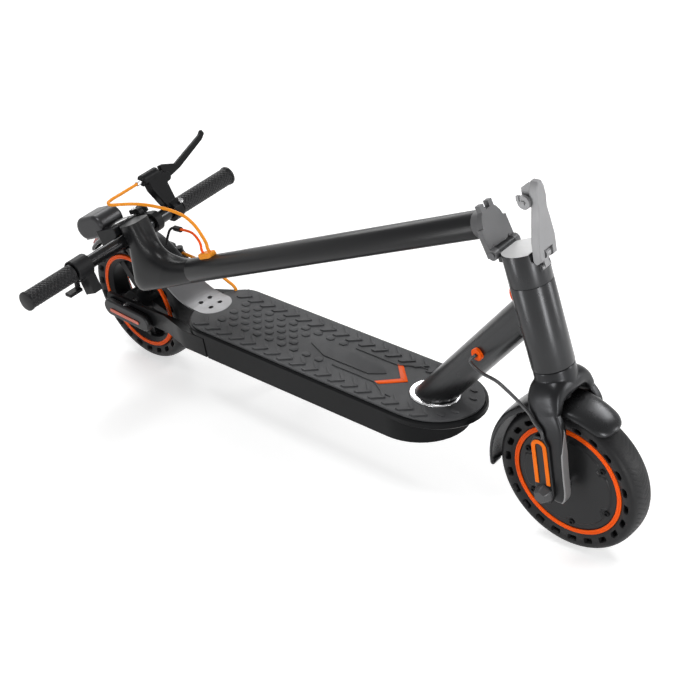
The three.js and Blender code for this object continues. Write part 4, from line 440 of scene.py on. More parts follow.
dull_black = finish("dull_black", (0.012, 0.0122, 0.0132), 0.4, 0, 0.1, 0.04, 2300, 0.1, specular=0.15)
orange_plastic = finish("orange_plastic", (1.0, 0.112, 0.006), 0.34, 0, 0.05, 0.05, 1800, 0.06, specular=0.1)
amber_sleeve = finish("amber_sleeve", (1.0, 0.34, 0.025), 0.36, 0, 0.05, 0.05, 2600, 0.1, specular=0.15)
salmon_strip = finish("salmon_strip", (0.8, 0.16, 0.09), 0.3, 0, 0.12, 0.05, 700, 0.3)
red_lens = finish("red_lens", (0.42, 0.01, 0.008), 0.16, 0, 0.1, 0.03, 420, 0.35, coat=0.6)
dark_lens = finish("dark_lens", (0.01, 0.0105, 0.012), 0.1, 0, 0.1, 0.03, 300, 0.02, coat=1.0)
battery_wrap = finish("battery_wrap", (0.03, 0.09, 0.16), 0.4, 0, 0.1, 0.05, 900, 0.1)
copper_wire = finish("copper_wire", (0.6, 0.24, 0.1), 0.3, 1.0, 0.08, 0.05, 1200, 0.3, stretch=(1, 1, 6))
print("finishes", len(bpy.data.materials))

# %% [markdown]
# The tyres are solid rubber, made light by a ring of pockets in each wall that shows as dark
# windows. The tread is a fine herringbone. Both are pressed into one grid: the section is a
# rounded crown on straight walls, and the pockets and grooves are depths taken off it.

# %% Tyres with pockets and tread
TYRE_RADIUS, TYRE_BEAD, TYRE_WIDEST = 0.1035, 0.0803, 0.0917
TYRE_HALF, TYRE_BEAD_HALF, CROWN_POWER = 0.0214, 0.017, 2 / 2.9
POCKETS, POCKET_RADIUS, POCKET_LENGTH, POCKET_HEIGHT = 22, 0.0884, 0.0125, 0.0062
POCKET_DEPTH, POCKET_CORNER, POCKET_EDGE, POCKETS_FROM_Y = 0.008, 0.0022, 0.0006, 0.015
GROOVES, GROOVE_DEPTH, GROOVE_SHARE, GROOVE_SLANT, GROOVE_STEEP = 78, 0.0006, 0.16, 0.010, 12
TREAD_HALF, TREAD_FROM_RADIUS = 0.0150, 0.097

def tyre_section():
    """Radius and y from bead to bead: a wall that widens to its widest, then a superellipse crown."""
    down = np.linspace(0, 1, 17)[:, None]
    wall = np.hstack([TYRE_BEAD + (TYRE_WIDEST - TYRE_BEAD) * down,
                      -TYRE_BEAD_HALF - (TYRE_HALF - TYRE_BEAD_HALF) * np.sin(down * np.pi / 2)])
    turn = np.linspace(0, np.pi, 59)[1:-1, None]
    crown = np.hstack([TYRE_WIDEST + (TYRE_RADIUS - TYRE_WIDEST) * np.sin(turn) ** CROWN_POWER,
                       -TYRE_HALF * signed_power(np.cos(turn), CROWN_POWER)])
    return np.vstack([wall, crown, (wall * [1, -1])[::-1]])

def tyre_points(steps=936):
    """The section carried round, less the pockets' depth in the walls and the grooves' in the tread."""
    section = tyre_section()
    turn = full_turn(steps)
    radius, y = section[:, 0] + 0 * turn, section[:, 1] + 0 * turn
    step = 2 * np.pi / POCKETS
    along = ((turn + step / 2 + np.pi / 2) % step - step / 2) * radius
    past_length = np.maximum(np.abs(along) - POCKET_LENGTH / 2 + POCKET_CORNER, 0)
    past_height = np.maximum(np.abs(radius - POCKET_RADIUS) - POCKET_HEIGHT / 2 + POCKET_CORNER, 0)
    over = np.hypot(past_length, past_height) - POCKET_CORNER
    pocket = np.clip(0.5 - over / POCKET_EDGE, 0, 1) * (np.abs(y) > POCKETS_FROM_Y)
    phase = (turn / (2 * np.pi) * GROOVES - np.abs(y) / GROOVE_SLANT) % 1
    groove = np.clip((GROOVE_SHARE / 2 - np.abs(phase - 0.5)) * GROOVE_STEEP, 0, 1)
    groove = groove * (np.abs(y) < TREAD_HALF)
    y = y - np.sign(y) * POCKET_DEPTH * pocket
    radius = radius - GROOVE_DEPTH * groove * (section[:, 0] > TREAD_FROM_RADIUS)
    return np.concatenate([spun(radius, y, turn), spun(TYRE_BEAD, 0, turn)], 1)

shape = tyre_points()
for node, axes in (("front_tyre", front_wheel), ("rear_tyre", rear_wheel)):
    dress(grid_piece(node + "_tread", axes.put(shape), True, True, 50), tyre_rubber, node)
print("tyre grid", shape.shape[:2])

# %% [markdown]
# A glossy orange liner sits in each tyre and shows as a bright ring with a thin step in it.
# It is a turned ring, so its profile alone decides the look.

# %% Orange rim liners
LINER_OUTER, LINER_LIP, LINER_WALL, LINER_LIP_WIDE = 0.0799, 0.0737, 0.0012, 0.0016
STEP_HALF, STEP_FOOT, STEP_DEEP, LINER_ROUND = 0.0008, 0.0004, 0.0007, 0.00025
FRONT_HALF, REAR_HALF = 0.0181, 0.0204

def liner_profile(half):
    """One closed outline: outer wall, a lip on each side with a step at mid lip, and the thin inner wall."""
    step, inner = (LINER_OUTER + LINER_LIP) / 2, LINER_OUTER - LINER_WALL
    edge = [[LINER_OUTER, half], [step + STEP_HALF, half], [step + STEP_FOOT, half - STEP_DEEP],
            [step - STEP_FOOT, half - STEP_DEEP], [step - STEP_HALF, half], [LINER_LIP, half],
            [LINER_LIP, half - LINER_LIP_WIDE], [inner, half - LINER_LIP_WIDE]]
    return np.array(edge + [[radius, -y] for radius, y in edge[::-1]])

for node, half, axes in (("front_rim_liner", FRONT_HALF, front_wheel),
                         ("rear_rim_liner", REAR_HALF, rear_wheel)):
    profile = rounded(liner_profile(half), LINER_ROUND, 3)
    dress(turned_piece(node + "_ring", axes, profile, 256), orange_plastic, node)
print("liners from radius", LINER_LIP, "to", LINER_OUTER)

# %% [markdown]
# The motor fills the front wheel. Each side is a dished alloy plate: a raised disc whose edge
# curves in round each of six screws, with a fine line along it. The height is a smooth step at
# a radius that dips near the screws.

# %% Motor plates
MOTOR_FLANGE, MOTOR_BORE, MOTOR_WALL_Y, MOTOR_RISE = 0.0734, 0.0080, 0.0181, 0.0022
MOTOR_LINE, SCREW_CIRCLE, SCREWS, SCREW_DIP, SCREW_SPREAD = 0.0645, 0.0645, 6, 0.0085, 0.115
DRUM_RADIUS, DRUM_INNER, DRUM_HALF, DRUM_WALL, PLATE_WALL = 0.0784, 0.0714, 0.0162, 0.004, 0.0024
PLATE_RINGS = np.hstack([np.linspace(MOTOR_BORE, 0.05, 12), np.linspace(0.0515, 0.0715, 54),
                         0.0729, MOTOR_FLANGE])
PLATE_SUNK, STEP_WIDE, BEAD_HIGH, BEAD_OUT, BEAD_WIDE = 0.0009, 0.0016, 0.0007, 0.0004, 0.0006
RIM_DROP, RIM_FROM, RIM_WIDE = 0.0012, 0.0725, 0.0009

def screw_turns():
    return 2 * np.pi * (np.arange(SCREWS) + 0.5) / SCREWS

def motor_plate_points(side, back, steps=360):
    """A disc in rings: its height steps up inside a line that dips round each screw, then the back."""
    turn = full_turn(steps)
    near = np.abs((turn - screw_turns() + np.pi) % (2 * np.pi) - np.pi).min(1)[:, None]
    line = MOTOR_LINE - SCREW_DIP * np.exp(-(near / SCREW_SPREAD) ** 4)
    radius = PLATE_RINGS[None]
    rise = np.clip((line - radius) / STEP_WIDE + 0.5, 0, 1)
    rise = rise * rise * (3 - 2 * rise)
    bead = np.exp(-((radius - line - BEAD_OUT) / BEAD_WIDE) ** 2)
    y = MOTOR_WALL_Y - PLATE_SUNK + MOTOR_RISE * rise + BEAD_HIGH * bead
    y = y - RIM_DROP * np.clip((radius - RIM_FROM) / RIM_WIDE, 0, 1)
    return np.concatenate([spun(radius, side * y, turn), ring_of(np.array(back) * [1, side], steps)], 1)

plain_back = [(MOTOR_FLANGE, MOTOR_WALL_Y - PLATE_WALL), (MOTOR_BORE, MOTOR_WALL_Y - PLATE_WALL)]
drum_back = [(MOTOR_FLANGE, DRUM_HALF), (DRUM_RADIUS, DRUM_HALF), (DRUM_RADIUS, -DRUM_HALF),
             (DRUM_INNER, -DRUM_HALF), (DRUM_INNER, DRUM_HALF - DRUM_WALL),
             (MOTOR_BORE, DRUM_HALF - DRUM_WALL)]
motor_gloss = finish("motor_gloss", (0.014, 0.0143, 0.0153), 0.36, 0, 0.04, 0.02, 2600, 0.05, specular=0.22)
for node, side, behind in (("motor_cover", -1, plain_back), ("motor_hub", 1, drum_back)):
    points = front_wheel.put(motor_plate_points(side, behind))
    dress(grid_piece(node + "_plate", points, True, True, 60), motor_gloss, node)
print("motor plates of", len(PLATE_RINGS), "rings")

# %% [markdown]
# Button-head screws hold the plates. One head is a turned cup with a socket in it, and the rest
# are copies of its points, moved in one array and put in one mesh.

# %% Screws of the motor plates
SCREW_CUP = [[0, 0.2], [0.42, 0.2], [0.5, 1.0], [0.78, 1.0], [0.96, 0.72], [1.0, 0.4], [1.0, 0], [0, 0]]
SIDES = ((-1, "right"), (1, "left"))
MOTOR_SCREW_RADIUS, MOTOR_SCREW_HIGH, SCREW_SUNK = 0.0042, 0.0026, 0.0012

def screw_heads(name, axes, places, way, radius, high, body, slot, material):
    """Button heads with a socket: short turned cups at each place, along local y one way or the other."""
    one = ring_of(np.array(SCREW_CUP) * [radius, high], 18) * [1, way, 1]
    rows, columns = one.shape[:2]
    points = one.reshape(-1, 3) + np.asarray(places, float)[:, None]
    faces = [grid_faces(rows, columns, True, True, k * rows * columns) for k in range(len(places))]
    piece = mesh_piece(name, axes.put(points), np.concatenate(faces).tolist(), 30)
    return dress(piece, material, None, body, slot)

for side, name in SIDES:
    y = side * (MOTOR_WALL_Y - SCREW_SUNK)
    places = [(SCREW_CIRCLE * math.cos(t), y, SCREW_CIRCLE * math.sin(t)) for t in screw_turns()]
    screw_heads(f"motor_screws_{name}", front_wheel, places, side, MOTOR_SCREW_RADIUS, MOTOR_SCREW_HIGH,
                "front_wheel", "motor_alloy", satin_black)
print("screws on each side", SCREWS)

# %% [markdown]
# The fenders are thin pressed shells that wrap the tyre. The section is a flattened arch with
# short skirts, and it narrows to a rounded nose at each end. A Solidify modifier gives the wall.

# %% Front and rear fenders
FENDER_CROWN, FENDER_SKIRT, FENDER_HALF, FENDER_WALL, FENDER_LIP = 0.1172, 0.1066, 0.0296, 0.0024, 32
NOSE_POWER, NOSE_LEAST, NOSE_DROP, SKIRT_REACH = 2.6, 0.22, 0.0045, 0.98
SIDE_POWER, SIDE_SOFTER, CROWN_FLAT, CROWN_ROUNDER, LIP_NARROWER = 0.8, 0.2, 0.55, 0.4, 0.16

def nose_width(distance, length):
    """A superellipse quarter: 0 at the nose's tip and 1 from its length on."""
    return np.sqrt(1 - (1 - np.clip(distance / length, 0, 1)) ** NOSE_POWER)

def fender_points(start, end, nose_start, nose_end, arched, across=49, around=140):
    """Degrees by width: the radius falls from crown to skirt by a steep power, and each end is a nose."""
    angle = np.linspace(start, end, around)[:, None]
    bend = np.linspace(-1, 1, across)[None] * np.pi / 2 * SKIRT_REACH
    noses = nose_width(angle - start, nose_start) * nose_width(end - angle, nose_end)
    width = NOSE_LEAST + (1 - NOSE_LEAST) * noses
    forward = np.clip((start + FENDER_LIP - angle) / FENDER_LIP, 0, 1) * arched
    across_share = signed_power(np.sin(bend), SIDE_POWER + SIDE_SOFTER * forward)
    y = FENDER_HALF * width * (1 - LIP_NARROWER * forward) * across_share
    fall = 1 - np.abs(np.cos(bend)) ** (CROWN_FLAT + CROWN_ROUNDER * forward)
    radius = FENDER_CROWN - (FENDER_CROWN - FENDER_SKIRT) * fall * width - NOSE_DROP * (1 - width)
    return spun(radius, y, np.radians(angle))

fender_gloss = finish("fender_gloss", (0.029, 0.0295, 0.031), 0.28, 0.8, 0.05, 0.02, 2600, 0.02)
# Node, axes, first and last degree, degrees of each nose, and whether the first end is arched.
for node, axes, *limits in (("front_fender", front_wheel, 51, 184, 12, 3, 1),
                            ("rear_fender", rear_wheel, 40, 143, 6, 9, 0)):
    shell = grid_piece(node + "_shell", axes.put(fender_points(*limits)), crease=70)
    wall = shell.modifiers.new("wall", "SOLIDIFY")
    wall.thickness, wall.offset, wall.use_even_offset = FENDER_WALL, -1, True
    dress(shell, fender_gloss, node)
print("fenders", 2 * FENDER_HALF, "m wide")

# %% [markdown]
# The rear fender ends in a flat tongue that is bolted to the deck, and the front one is held by a round pad under
# the fork's crown. The tongue keeps its CAD shape, with four bolt holes. It is the fender's own black foot, and
# its paler grey is a painted sheen.

# %% Tongue and pad that hold the fenders
TONGUE_CUT = 0.0985
tongue = merged_copy("rear_fender", "fender_tongue")
with opened(tongue.data) as work:
    whole = [*work.verts, *work.edges, *work.faces]
    cut = bmesh.ops.bisect_plane(work, geom=whole, plane_co=deck.put([TONGUE_CUT, 0, 0]), plane_no=(1, 0, 0),
                                 clear_inner=True)["geom_cut"]
    bmesh.ops.holes_fill(work, edges=[edge for edge in cut if isinstance(edge, bmesh.types.BMEdge)])
soften(tongue.data, 25)
# The fender's black foot takes a paler grey, which paints the sheen on it.
dress(tongue, tongue_painted_sheen, None, "frame", "black_paint")

def around_column(profile, steps=144):
    """A profile of (radius, height) carried round an upright axis."""
    points = ring_of(profile, steps)
    return points[..., [0, 2, 1]]

PAD_RADIUS, PAD_LOW, PAD_HIGH = 0.012, 0.1150, 0.1302
pad = [[0, PAD_LOW], [PAD_RADIUS, PAD_LOW], [PAD_RADIUS, PAD_HIGH], [0, PAD_HIGH]]
pad_piece = grid_piece("front_fender_pad", column.put(around_column(pad, 40)), True, True)
dress(pad_piece, satin_black, None, "front_assembly", "black_paint")
print("faces of the tongue", len(tongue.data.polygons))

# %% [markdown]
# The steering column reads as one long smooth tube with two fine joints: the fork's neck below,
# the head tube in the middle and the fold's foot above. Each is turned round the steering axis.
# The lock lever's foot turns in a round room in front, which the shells leave free.

# %% Round shells of the column
COLUMN_RADIUS, DISC_RADIUS = 0.0277, 0.0272
HEAD_LOW, HEAD_HIGH, FOLD_TOP = 0.164, 0.2786, 0.322
FOOT_LOW, FOOT_HIGH = HEAD_HIGH + 0.0003, FOLD_TOP - 0.0004
FOOT_WALL, HEAD_WALL, RING_ROUND = 0.0015, 0.0016, 0.0006
DISC_LOW, DISC_HIGH, DISC_ROUND = FOLD_TOP - 0.002, FOLD_TOP + 0.0002, 0.0004
LEVER_OUT, LEVER_UP, LEVER_ROOM, LEVER_HALF, LEVER_BACK = 0.0314, 0.318, 0.0118, 0.0177, 0.0202

def clear_of_lever(points):
    """In front, what would stand in the round room of the lever's foot is brought down to its edge."""
    x, y, z = np.moveaxis(points, -1, 0)
    edge = LEVER_UP - np.sqrt(np.clip(LEVER_ROOM ** 2 - (LEVER_OUT - x) ** 2, 0, None))
    ahead = (np.abs(y) < LEVER_HALF) & (x > 0)
    return np.stack([x, y, np.where(ahead, np.minimum(z, edge), z)], -1)

def column_ring(name, low, high, wall, body, slot):
    """A ring round the steering axis, with small round edges."""
    outer, inner = COLUMN_RADIUS, COLUMN_RADIUS - wall
    profile = rounded([[outer, low], [outer, high], [inner, high], [inner, low]], RING_ROUND, 3)
    points = clear_of_lever(around_column(profile))
    return dress(grid_piece(name, column.put(points), True, True), column_paint, None, body, slot)

column_ring("fold_foot_shell", FOOT_LOW, FOOT_HIGH, FOOT_WALL, "front_assembly", "black_steel")
column_ring("head_tube_shell", HEAD_LOW, HEAD_HIGH, HEAD_WALL, "frame", "black_paint")
edged("fold_base", column_paint, 0.0006)
disc = [[0, DISC_LOW], [DISC_RADIUS, DISC_LOW], [DISC_RADIUS, DISC_HIGH], [0, DISC_HIGH]]
points = around_column(rounded(disc, DISC_ROUND, 3))
ahead = np.abs(points[..., 1]) < LEVER_HALF
points[..., 0] = np.where(ahead, np.minimum(points[..., 0], LEVER_BACK), points[..., 0])
top_plate = grid_piece("fold_top_plate", column.put(points), True, True)
dress(top_plate, pale_metal, None, "front_assembly", "steel")
print("column shells from", HEAD_LOW, "to", FOLD_TOP, "m along the axis")

# %% [markdown]
# The fork is one forging: a round neck that swells into two shoulders and runs down into flat
# legs. Each side is a section carried along a bent line, round at the neck and nearly square at
# the leg. Both sides and the neck are then joined by a fine remesh, which leaves soft corners.
# The front of each leg is a flat, made as a thin strip of its own in pale grey: a painted highlight on the black
# fork.

# %% Fork neck, shoulders and legs
FACE_FIRST, FACE_LAST, FACE_POWER = 46, 112, 6
FACE_SUNK, FACE_DEEP, FACE_WIDE, FACE_WIDENS = 0.0008, 0.0013, 0.94, 3.2
NECK = [[0, 0.136], [0.0262, 0.136], [0.0272, 0.150], [0.0272, 0.1635], [0, 0.1635]]
ABOVE = [(0, 0, .1385, .0264, .0175, 2.4), (0, .011, .1385, .0264, .0175, 2.4),
         (0, .0200, .1370, .0258, .0160, 2.6), (0, .0290, .1310, .0248, .0118, 3),
         (0, .0345, .1215, .0234, .0082, 3.8), (0, .0376, .1110, .0216, .0066, 5)]
BELOW = [(.0025, .0404, .094, .0186, .0066, 7), (.0045, .0416, .076, .0160, .0066, 8),
         (.0055, .0420, .050, .0134, .0066, 9), (.0058, .0420, .026, .0124, .0066, 9),
         (.0058, .0420, .004, .0120, .0066, 9), (.0055, .0420, -.006, .0104, .0064, 6),
         (.0050, .0420, -.0115, .0072, .0056, 5), (.0048, .0420, -.0142, .0034, .0040, 4),
         (.0048, .0420, -.0148, .0004, .0010, 4)]

def fork_side(side):
    """Rows of centre (x, y, z), half depth, half thickness and corner power, in column and wheel axes."""
    flip, scale = np.array([1, side, 1]), np.array([1, 1, 1, 1, 1, 0.001])
    rows = [np.hstack([axes.put(np.array(table)[:, :3] * flip), np.array(table)[:, 3:]])
            for axes, table in ((column, ABOVE), (front_wheel, BELOW))]
    return smooth_path(np.vstack(rows) * scale, 120) / scale

def fork_leg_piece(rows, name):
    """At each row a superellipse: depth along the fork's ahead, thickness square to that and the path."""
    centre, depth, thick, power = rows[:, :3], rows[:, 3:4], rows[:, 4:5], 2 / rows[:, 5:6]
    along = np.gradient(centre, axis=0)
    along /= np.linalg.norm(along, axis=1)[:, None]
    ahead = column.ahead - along * (along @ column.ahead)[:, None]
    ahead /= np.linalg.norm(ahead, axis=1)[:, None]
    across = np.cross(along, ahead)
    turn = full_turn(72).T
    a, b = depth * signed_power(np.cos(turn), power), thick * signed_power(np.sin(turn), power)
    points = centre[:, None] + a[..., None] * ahead[:, None] + b[..., None] * across[:, None]
    return grid_piece(name, closed_ends(points, centre[0], centre[-1]), False, True)

def leg_face_rows(side):
    """The lower rows moved forward to the leg's front and made thin: a flat that widens from a point."""
    rows = fork_side(side)[FACE_FIRST:FACE_LAST]
    rows[:, :3] += front_wheel.ahead * (rows[:, 3:4] - FACE_SUNK)
    rows[:, 3] = FACE_DEEP
    rows[:, 4] *= FACE_WIDE * np.clip(np.linspace(0, FACE_WIDENS, len(rows)), 0.02, 1)
    rows[:, 5] = FACE_POWER
    return rows

# %% [markdown]
# A remesh makes one skin over the neck and both sides, as on a real forging. The light faces in front of the legs,
# whose pale grey is a painted highlight, stay apart from it, since they keep their own grid and finish.

# %% One skin over the fork
neck = around_column(rounded(NECK, 0.0012, 3))
fork_piece = grid_piece("fork_forged", column.put(neck), True, True)
for side, name in SIDES:
    leg = fork_leg_piece(fork_side(side), f"fork_leg_{name}")
    with opened(fork_piece.data) as work:
        work.from_mesh(leg.data)
    bpy.data.objects.remove(leg)
dress(skinned(fork_piece, 0.0009, 8), fork_paint, "fork")
# A pale grey for the fronts of the legs: a painted highlight on the black fork.
painted_highlight_grey = finish("painted_highlight_grey", (0.27, 0.27, 0.274), 0.4, 0.4, 0.05, 0.03, 1900, 0.05)
for side, name in SIDES:
    face = fork_leg_piece(leg_face_rows(side), f"fork_leg_highlight_face_{name}")
    dress(face, painted_highlight_grey, None, "front_assembly", "black_steel")
print("fork from", np.round(column.put([0, 0, NECK[-1][1]]), 3), "to the axle at", np.round(front_hub, 3))

# %% [markdown]
# The deck is a long flat box with a ribbed rubber mat let into its top. Its cast body keeps the
# CAD solid with softened edges. The mat's pattern is built as bars that stand on it: chevron
# tiles in two rows, a low hexagon between them, and small bumps towards the rear.

# %% Deck, covers and mat
for node, material, width, angle, segments in (
        ("deck_body", black_paint, 0.0009, 24, 3), ("bottom_cover", satin_black, 0.0008, 28, 2),
        ("deck_mat", mat_rubber, 0.0006, 28, 2), ("charge_cap", soft_rubber, 0.0008, 24, 3),
        ("kickstand_bracket", satin_black, 0.0005, 28, 2), ("kickstand_leg", satin_black, 0.0006, 28, 2)):
    edged(node, material, width, angle, segments)
MAT_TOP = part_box("deck_mat")[1][2] - deck.origin[2]
print("mat top", round(float(MAT_TOP), 4), "m above the deck's origin")

def raised_prisms(name, outlines, high, draft, material=mat_rubber, crease=30, foot=0.0006, shoulder=0.8):
    """Convex outlines lifted off the mat: foot, shoulder, and a top drawn in to the middle by the draft."""
    outlines = np.asarray(outlines, float)
    middle = outlines.mean(1, keepdims=True)
    drawn = middle + (outlines - middle) * (1 - draft)
    levels = ((outlines, -foot), (outlines, high * shoulder), (drawn, high))
    rings = [np.dstack([ring, np.full(ring.shape[:2], MAT_TOP + z)]) for ring, z in levels]
    count = outlines.shape[1]
    sides, whole = grid_faces(3, count, False, True), 3 * count
    faces = []
    for start in range(0, len(outlines) * whole, whole):
        foot_ring = list(range(start, start + count))
        faces += (sides + start).tolist() + [foot_ring[::-1], [i + 2 * count for i in foot_ring]]
    piece = mesh_piece(name, deck.put(np.stack(rings, 1)), faces, crease, None)
    return dress(piece, material, None, "frame", "mat_rubber")

# %% [markdown]
# Drawn in towards its middle, the top of a bent outline would overhang its own notch, so each
# chevron tile is two convex arms side by side. The bumps are flat hexagons in staggered rows.

# %% Tiles, panel and bumps of the mat
TILE_PITCH, TILE_APEX, TILE_ROW, TILE_HALF = 0.0263, 0.554, 0.044, 0.012
TILE = [(0, 0), (-0.016, TILE_HALF), (-0.023, TILE_HALF), (-0.007, 0), (-0.023, -TILE_HALF),
        (-0.016, -TILE_HALF)]
PANEL = [(0.388, 0), (0.428, 0.014), (0.517, 0.014), (0.540, 0), (0.517, -0.014), (0.428, -0.014)]
BUMP = np.array([(-0.008, 0), (-0.0045, 0.0048), (0.0045, 0.0048), (0.008, 0), (0.0045, -0.0048),
                 (-0.0045, -0.0048)])
BUMP_START = 0.219
BUMP_ROWS = [(-0.0245, 0.000, 0.447), (-0.0122, 0.013, 0.375), (0.0, 0.0, 0.365), (0.0122, 0.013, 0.375),
             (0.0245, 0.0, 0.447)]
FRONT_BUMPS = ((0.672, -0.033), (0.684, -0.018), (0.672, 0.033), (0.684, 0.018))

def chevron_halves(outline):
    """Outer apex, arm ends and inner apex as two convex arms that share the line through both apexes."""
    a, b, c, d, e, f = outline
    return [[a, b, c, d], [a, d, e, f]]

tiles = [half for row in (-TILE_ROW, TILE_ROW) for k in range(-13, 5)
         for half in chevron_halves([(TILE_APEX + TILE_PITCH * k + x, row + y) for x, y in TILE])]
raised_prisms("mat_chevrons", tiles, 0.0019, 0.05)
raised_prisms("mat_panel", [PANEL], 0.0015, 0.015)
bumps = [BUMP + (x, y) for y, shift, last in BUMP_ROWS
         for x in np.arange(BUMP_START + shift, last, TILE_PITCH)]
bumps += [BUMP * [0.9, 0.55] + place for place in FRONT_BUMPS]
raised_prisms("mat_bumps", bumps, 0.0015, 0.1)
print("tiles", len(tiles) // 2, "bumps", len(bumps))

# %% [markdown]
# Two thin ridges frame the middle of the mat and open towards the neck, where a bright orange
# chevron is moulded in. Each ridge is a low rounded bar swept along its own bent line.

# %% Ridges and orange chevron on the mat
RIDGE_WIDE, RIDGE_HIGH, RIDGE_STEPS, RIDGE_END_POWER = 0.0024, 0.0017, 160, 60
ARROW = [(0.580, 0.001), (0.548, 0.026), (0.536, 0.026), (0.566, 0.001), (0.536, -0.024), (0.548, -0.024)]

def even_line(points, count):
    """Places spread evenly by length along straight runs."""
    points = np.asarray(points, float)
    along = np.concatenate([[0], np.cumsum(np.linalg.norm(np.diff(points, axis=0), axis=1))])
    t = np.linspace(0, along[-1], count)
    return np.column_stack([np.interp(t, along, points[:, i]) for i in (0, 1)])

def ridge(name, line):
    """A low rounded bar: a flattened circle carried along straight runs, closed by a steep power."""
    path = even_line(line, RIDGE_STEPS)
    heading = np.gradient(path, axis=0)
    heading /= np.linalg.norm(heading, axis=1)[:, None]
    side = np.column_stack([-heading[:, 1], heading[:, 0]])
    turn, share = full_turn(14).T, np.linspace(-1, 1, RIDGE_STEPS)[:, None]
    end = np.sqrt(1 - np.abs(share) ** RIDGE_END_POWER)
    offset, lift = np.cos(turn) * RIDGE_WIDE / 2 * end, np.sin(turn) * RIDGE_HIGH * end
    points = np.dstack([path[:, None] + side[:, None] * offset[..., None], MAT_TOP + lift])
    bar = grid_piece(name, deck.put(points), False, True, 60)
    return dress(bar, mat_rubber, None, "frame", "mat_rubber")

for side, name in SIDES:
    line = np.array([(0.455, 0.024), (0.540, 0.024), (0.568, 0.038), (0.584, 0.038)]) * [1, side]
    ridge(f"mat_ridge_{name}", line)
raised_prisms("mat_orange_chevron", chevron_halves(ARROW), 0.0009, 0.04, orange_plastic, 50)
print("ridges and chevron on the mat")

# %% [markdown]
# The neck rises out of the deck as a round tube and runs into the head tube with a soft weld.
# The CAD solid is remeshed and smoothed, which rounds that corner. A small orange plug closes a
# hole behind the head tube: it is an ellipsoid, half sunk in the wall.

# %% Neck and its collar
PLUG_HALF, PLUG_FACING, PLUG_HEIGHT = np.array([0.0030, 0.0062, 0.0090]), (0.91, 0.41), 0.2640
cast("neck_and_head_tube", column_paint, 0.0013, 8)
edged("neck_collar", bright_steel, 0.0004)
edged("headset_sleeve", bright_steel, 0.0004)
edged("neck_grommet", orange_plastic, 0.0005)
polar = np.linspace(0, np.pi, 24)
ball = around_column(np.column_stack([np.sin(polar), np.cos(polar)]), 32)
out_x, out_y = PLUG_FACING
plug = ball * PLUG_HALF @ np.array([[-out_x, -out_y, 0], [out_y, -out_x, 0], [0, 0, 1]])
plug += np.array([-out_x * COLUMN_RADIUS, -out_y * COLUMN_RADIUS, PLUG_HEIGHT])
plug_piece = grid_piece("head_tube_plug", column.put(plug), True, False)
dress(plug_piece, orange_plastic, None, "frame", "orange_plastic")
neck_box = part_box("neck_and_head_tube")
print("neck from", np.round(neck_box[0], 3), "to", np.round(neck_box[1], 3))

# %% [markdown]
# The rear end is a pair of arms, a spoked alloy wheel, a drilled brake disc and its caliper.
# These machined shapes are right in the CAD and only need their edges broken, and so are the
# axle covers. Each fork cover ends in a six-sided cap, whose flats taper outwards.

# %% Rear arms, wheel, disc, caliper and fork covers
cover_black = finish("cover_black", (0.024, 0.0243, 0.0255), 0.34, 0.7, 0.06, 0.03, 1900, 0.04)
lit_orange = finish("lit_orange", (1.0, 0.19, 0.01), 0.34, 0, 0.05, 0.04, 1800, 0.05, specular=0.1)
for node, material, width in (
        ("rear_arm_left", black_paint, 0.0012), ("rear_arm_right", black_paint, 0.0012),
        ("rear_rim", satin_black, 0.0007), ("brake_disc", bright_steel, 0.0003),
        ("brake_caliper", satin_black, 0.0008), ("rear_axle", bright_steel, 0.0004),
        ("front_axle", bright_steel, 0.0004), ("axle_cover_left", cover_black, 0.0022),
        ("axle_cover_right", cover_black, 0.0022), ("rear_reflector", salmon_strip, 0.0003),
        ("tail_light", red_lens, 0.0008), ("fork_cover_left", cover_black, 0.0020),
        ("fork_cover_right", cover_black, 0.0020), ("fork_reflector", lit_orange, 0.0004),
        ("hinge_pin", plate_metal, 0.0004), ("lock_bolt", grey_metal, 0.0004)):
    edged(node, material, width)
COVER_AHEAD, COVER_FACE, NOSE_RADIUS, NOSE_BEVEL = -0.0104, 0.0523, 0.0132, 0.05
NOSE_ROWS = np.array([(0, 1.0), (0.0016, 1.0), (0.0030, 0.97), (0.0110, 0.70), (0.0120, 0.63), (0.0120, 0)])

def nose_points():
    """Rows of y and share of the radius: each is a hexagon, with its corners doubled for a bevel."""
    corner = np.radians(np.arange(6) * 60 + 30)
    corner = np.sort(np.concatenate([corner - NOSE_BEVEL, corner + NOSE_BEVEL]))[None]
    return spun(NOSE_ROWS[:, 1:] * NOSE_RADIUS, NOSE_ROWS[:, :1], corner)

nose_grey = finish("nose_grey", (0.05, 0.05, 0.053), 0.34, 0, 0.06, 0.04, 1800, 0.12)
for side, name in SIDES:
    points = nose_points() * [1, side, 1] + [COVER_AHEAD, side * COVER_FACE, 0]
    cap = grid_piece(f"fork_nose_{name}", front_wheel.put(points), False, True, 20)
    dress(cap, nose_grey, None, "front_assembly", "black_plastic")
print("rear end and fork covers")

# %% [markdown]
# The fold's parts, the stem's foot and the latch lever, are bare grey castings. The lever is
# polished along its edges, so its bevel is a little wider.

# %% Fold, lever and stem foot
edged("stem_base", plate_metal, 0.0007, 24, 3)
edged("lock_lever", grey_metal, 0.0007, 24, 3)
edged("safety_catch", grey_metal, 0.0005)

# %% [markdown]
# The stem is a plain round tube with a forged head that holds the handlebar. The tube is turned.
# The head is a circle that is squared off as it leaves the tube, carried between two outlines:
# an inner one that bends up to the bar, and an outer one with a kicked corner.

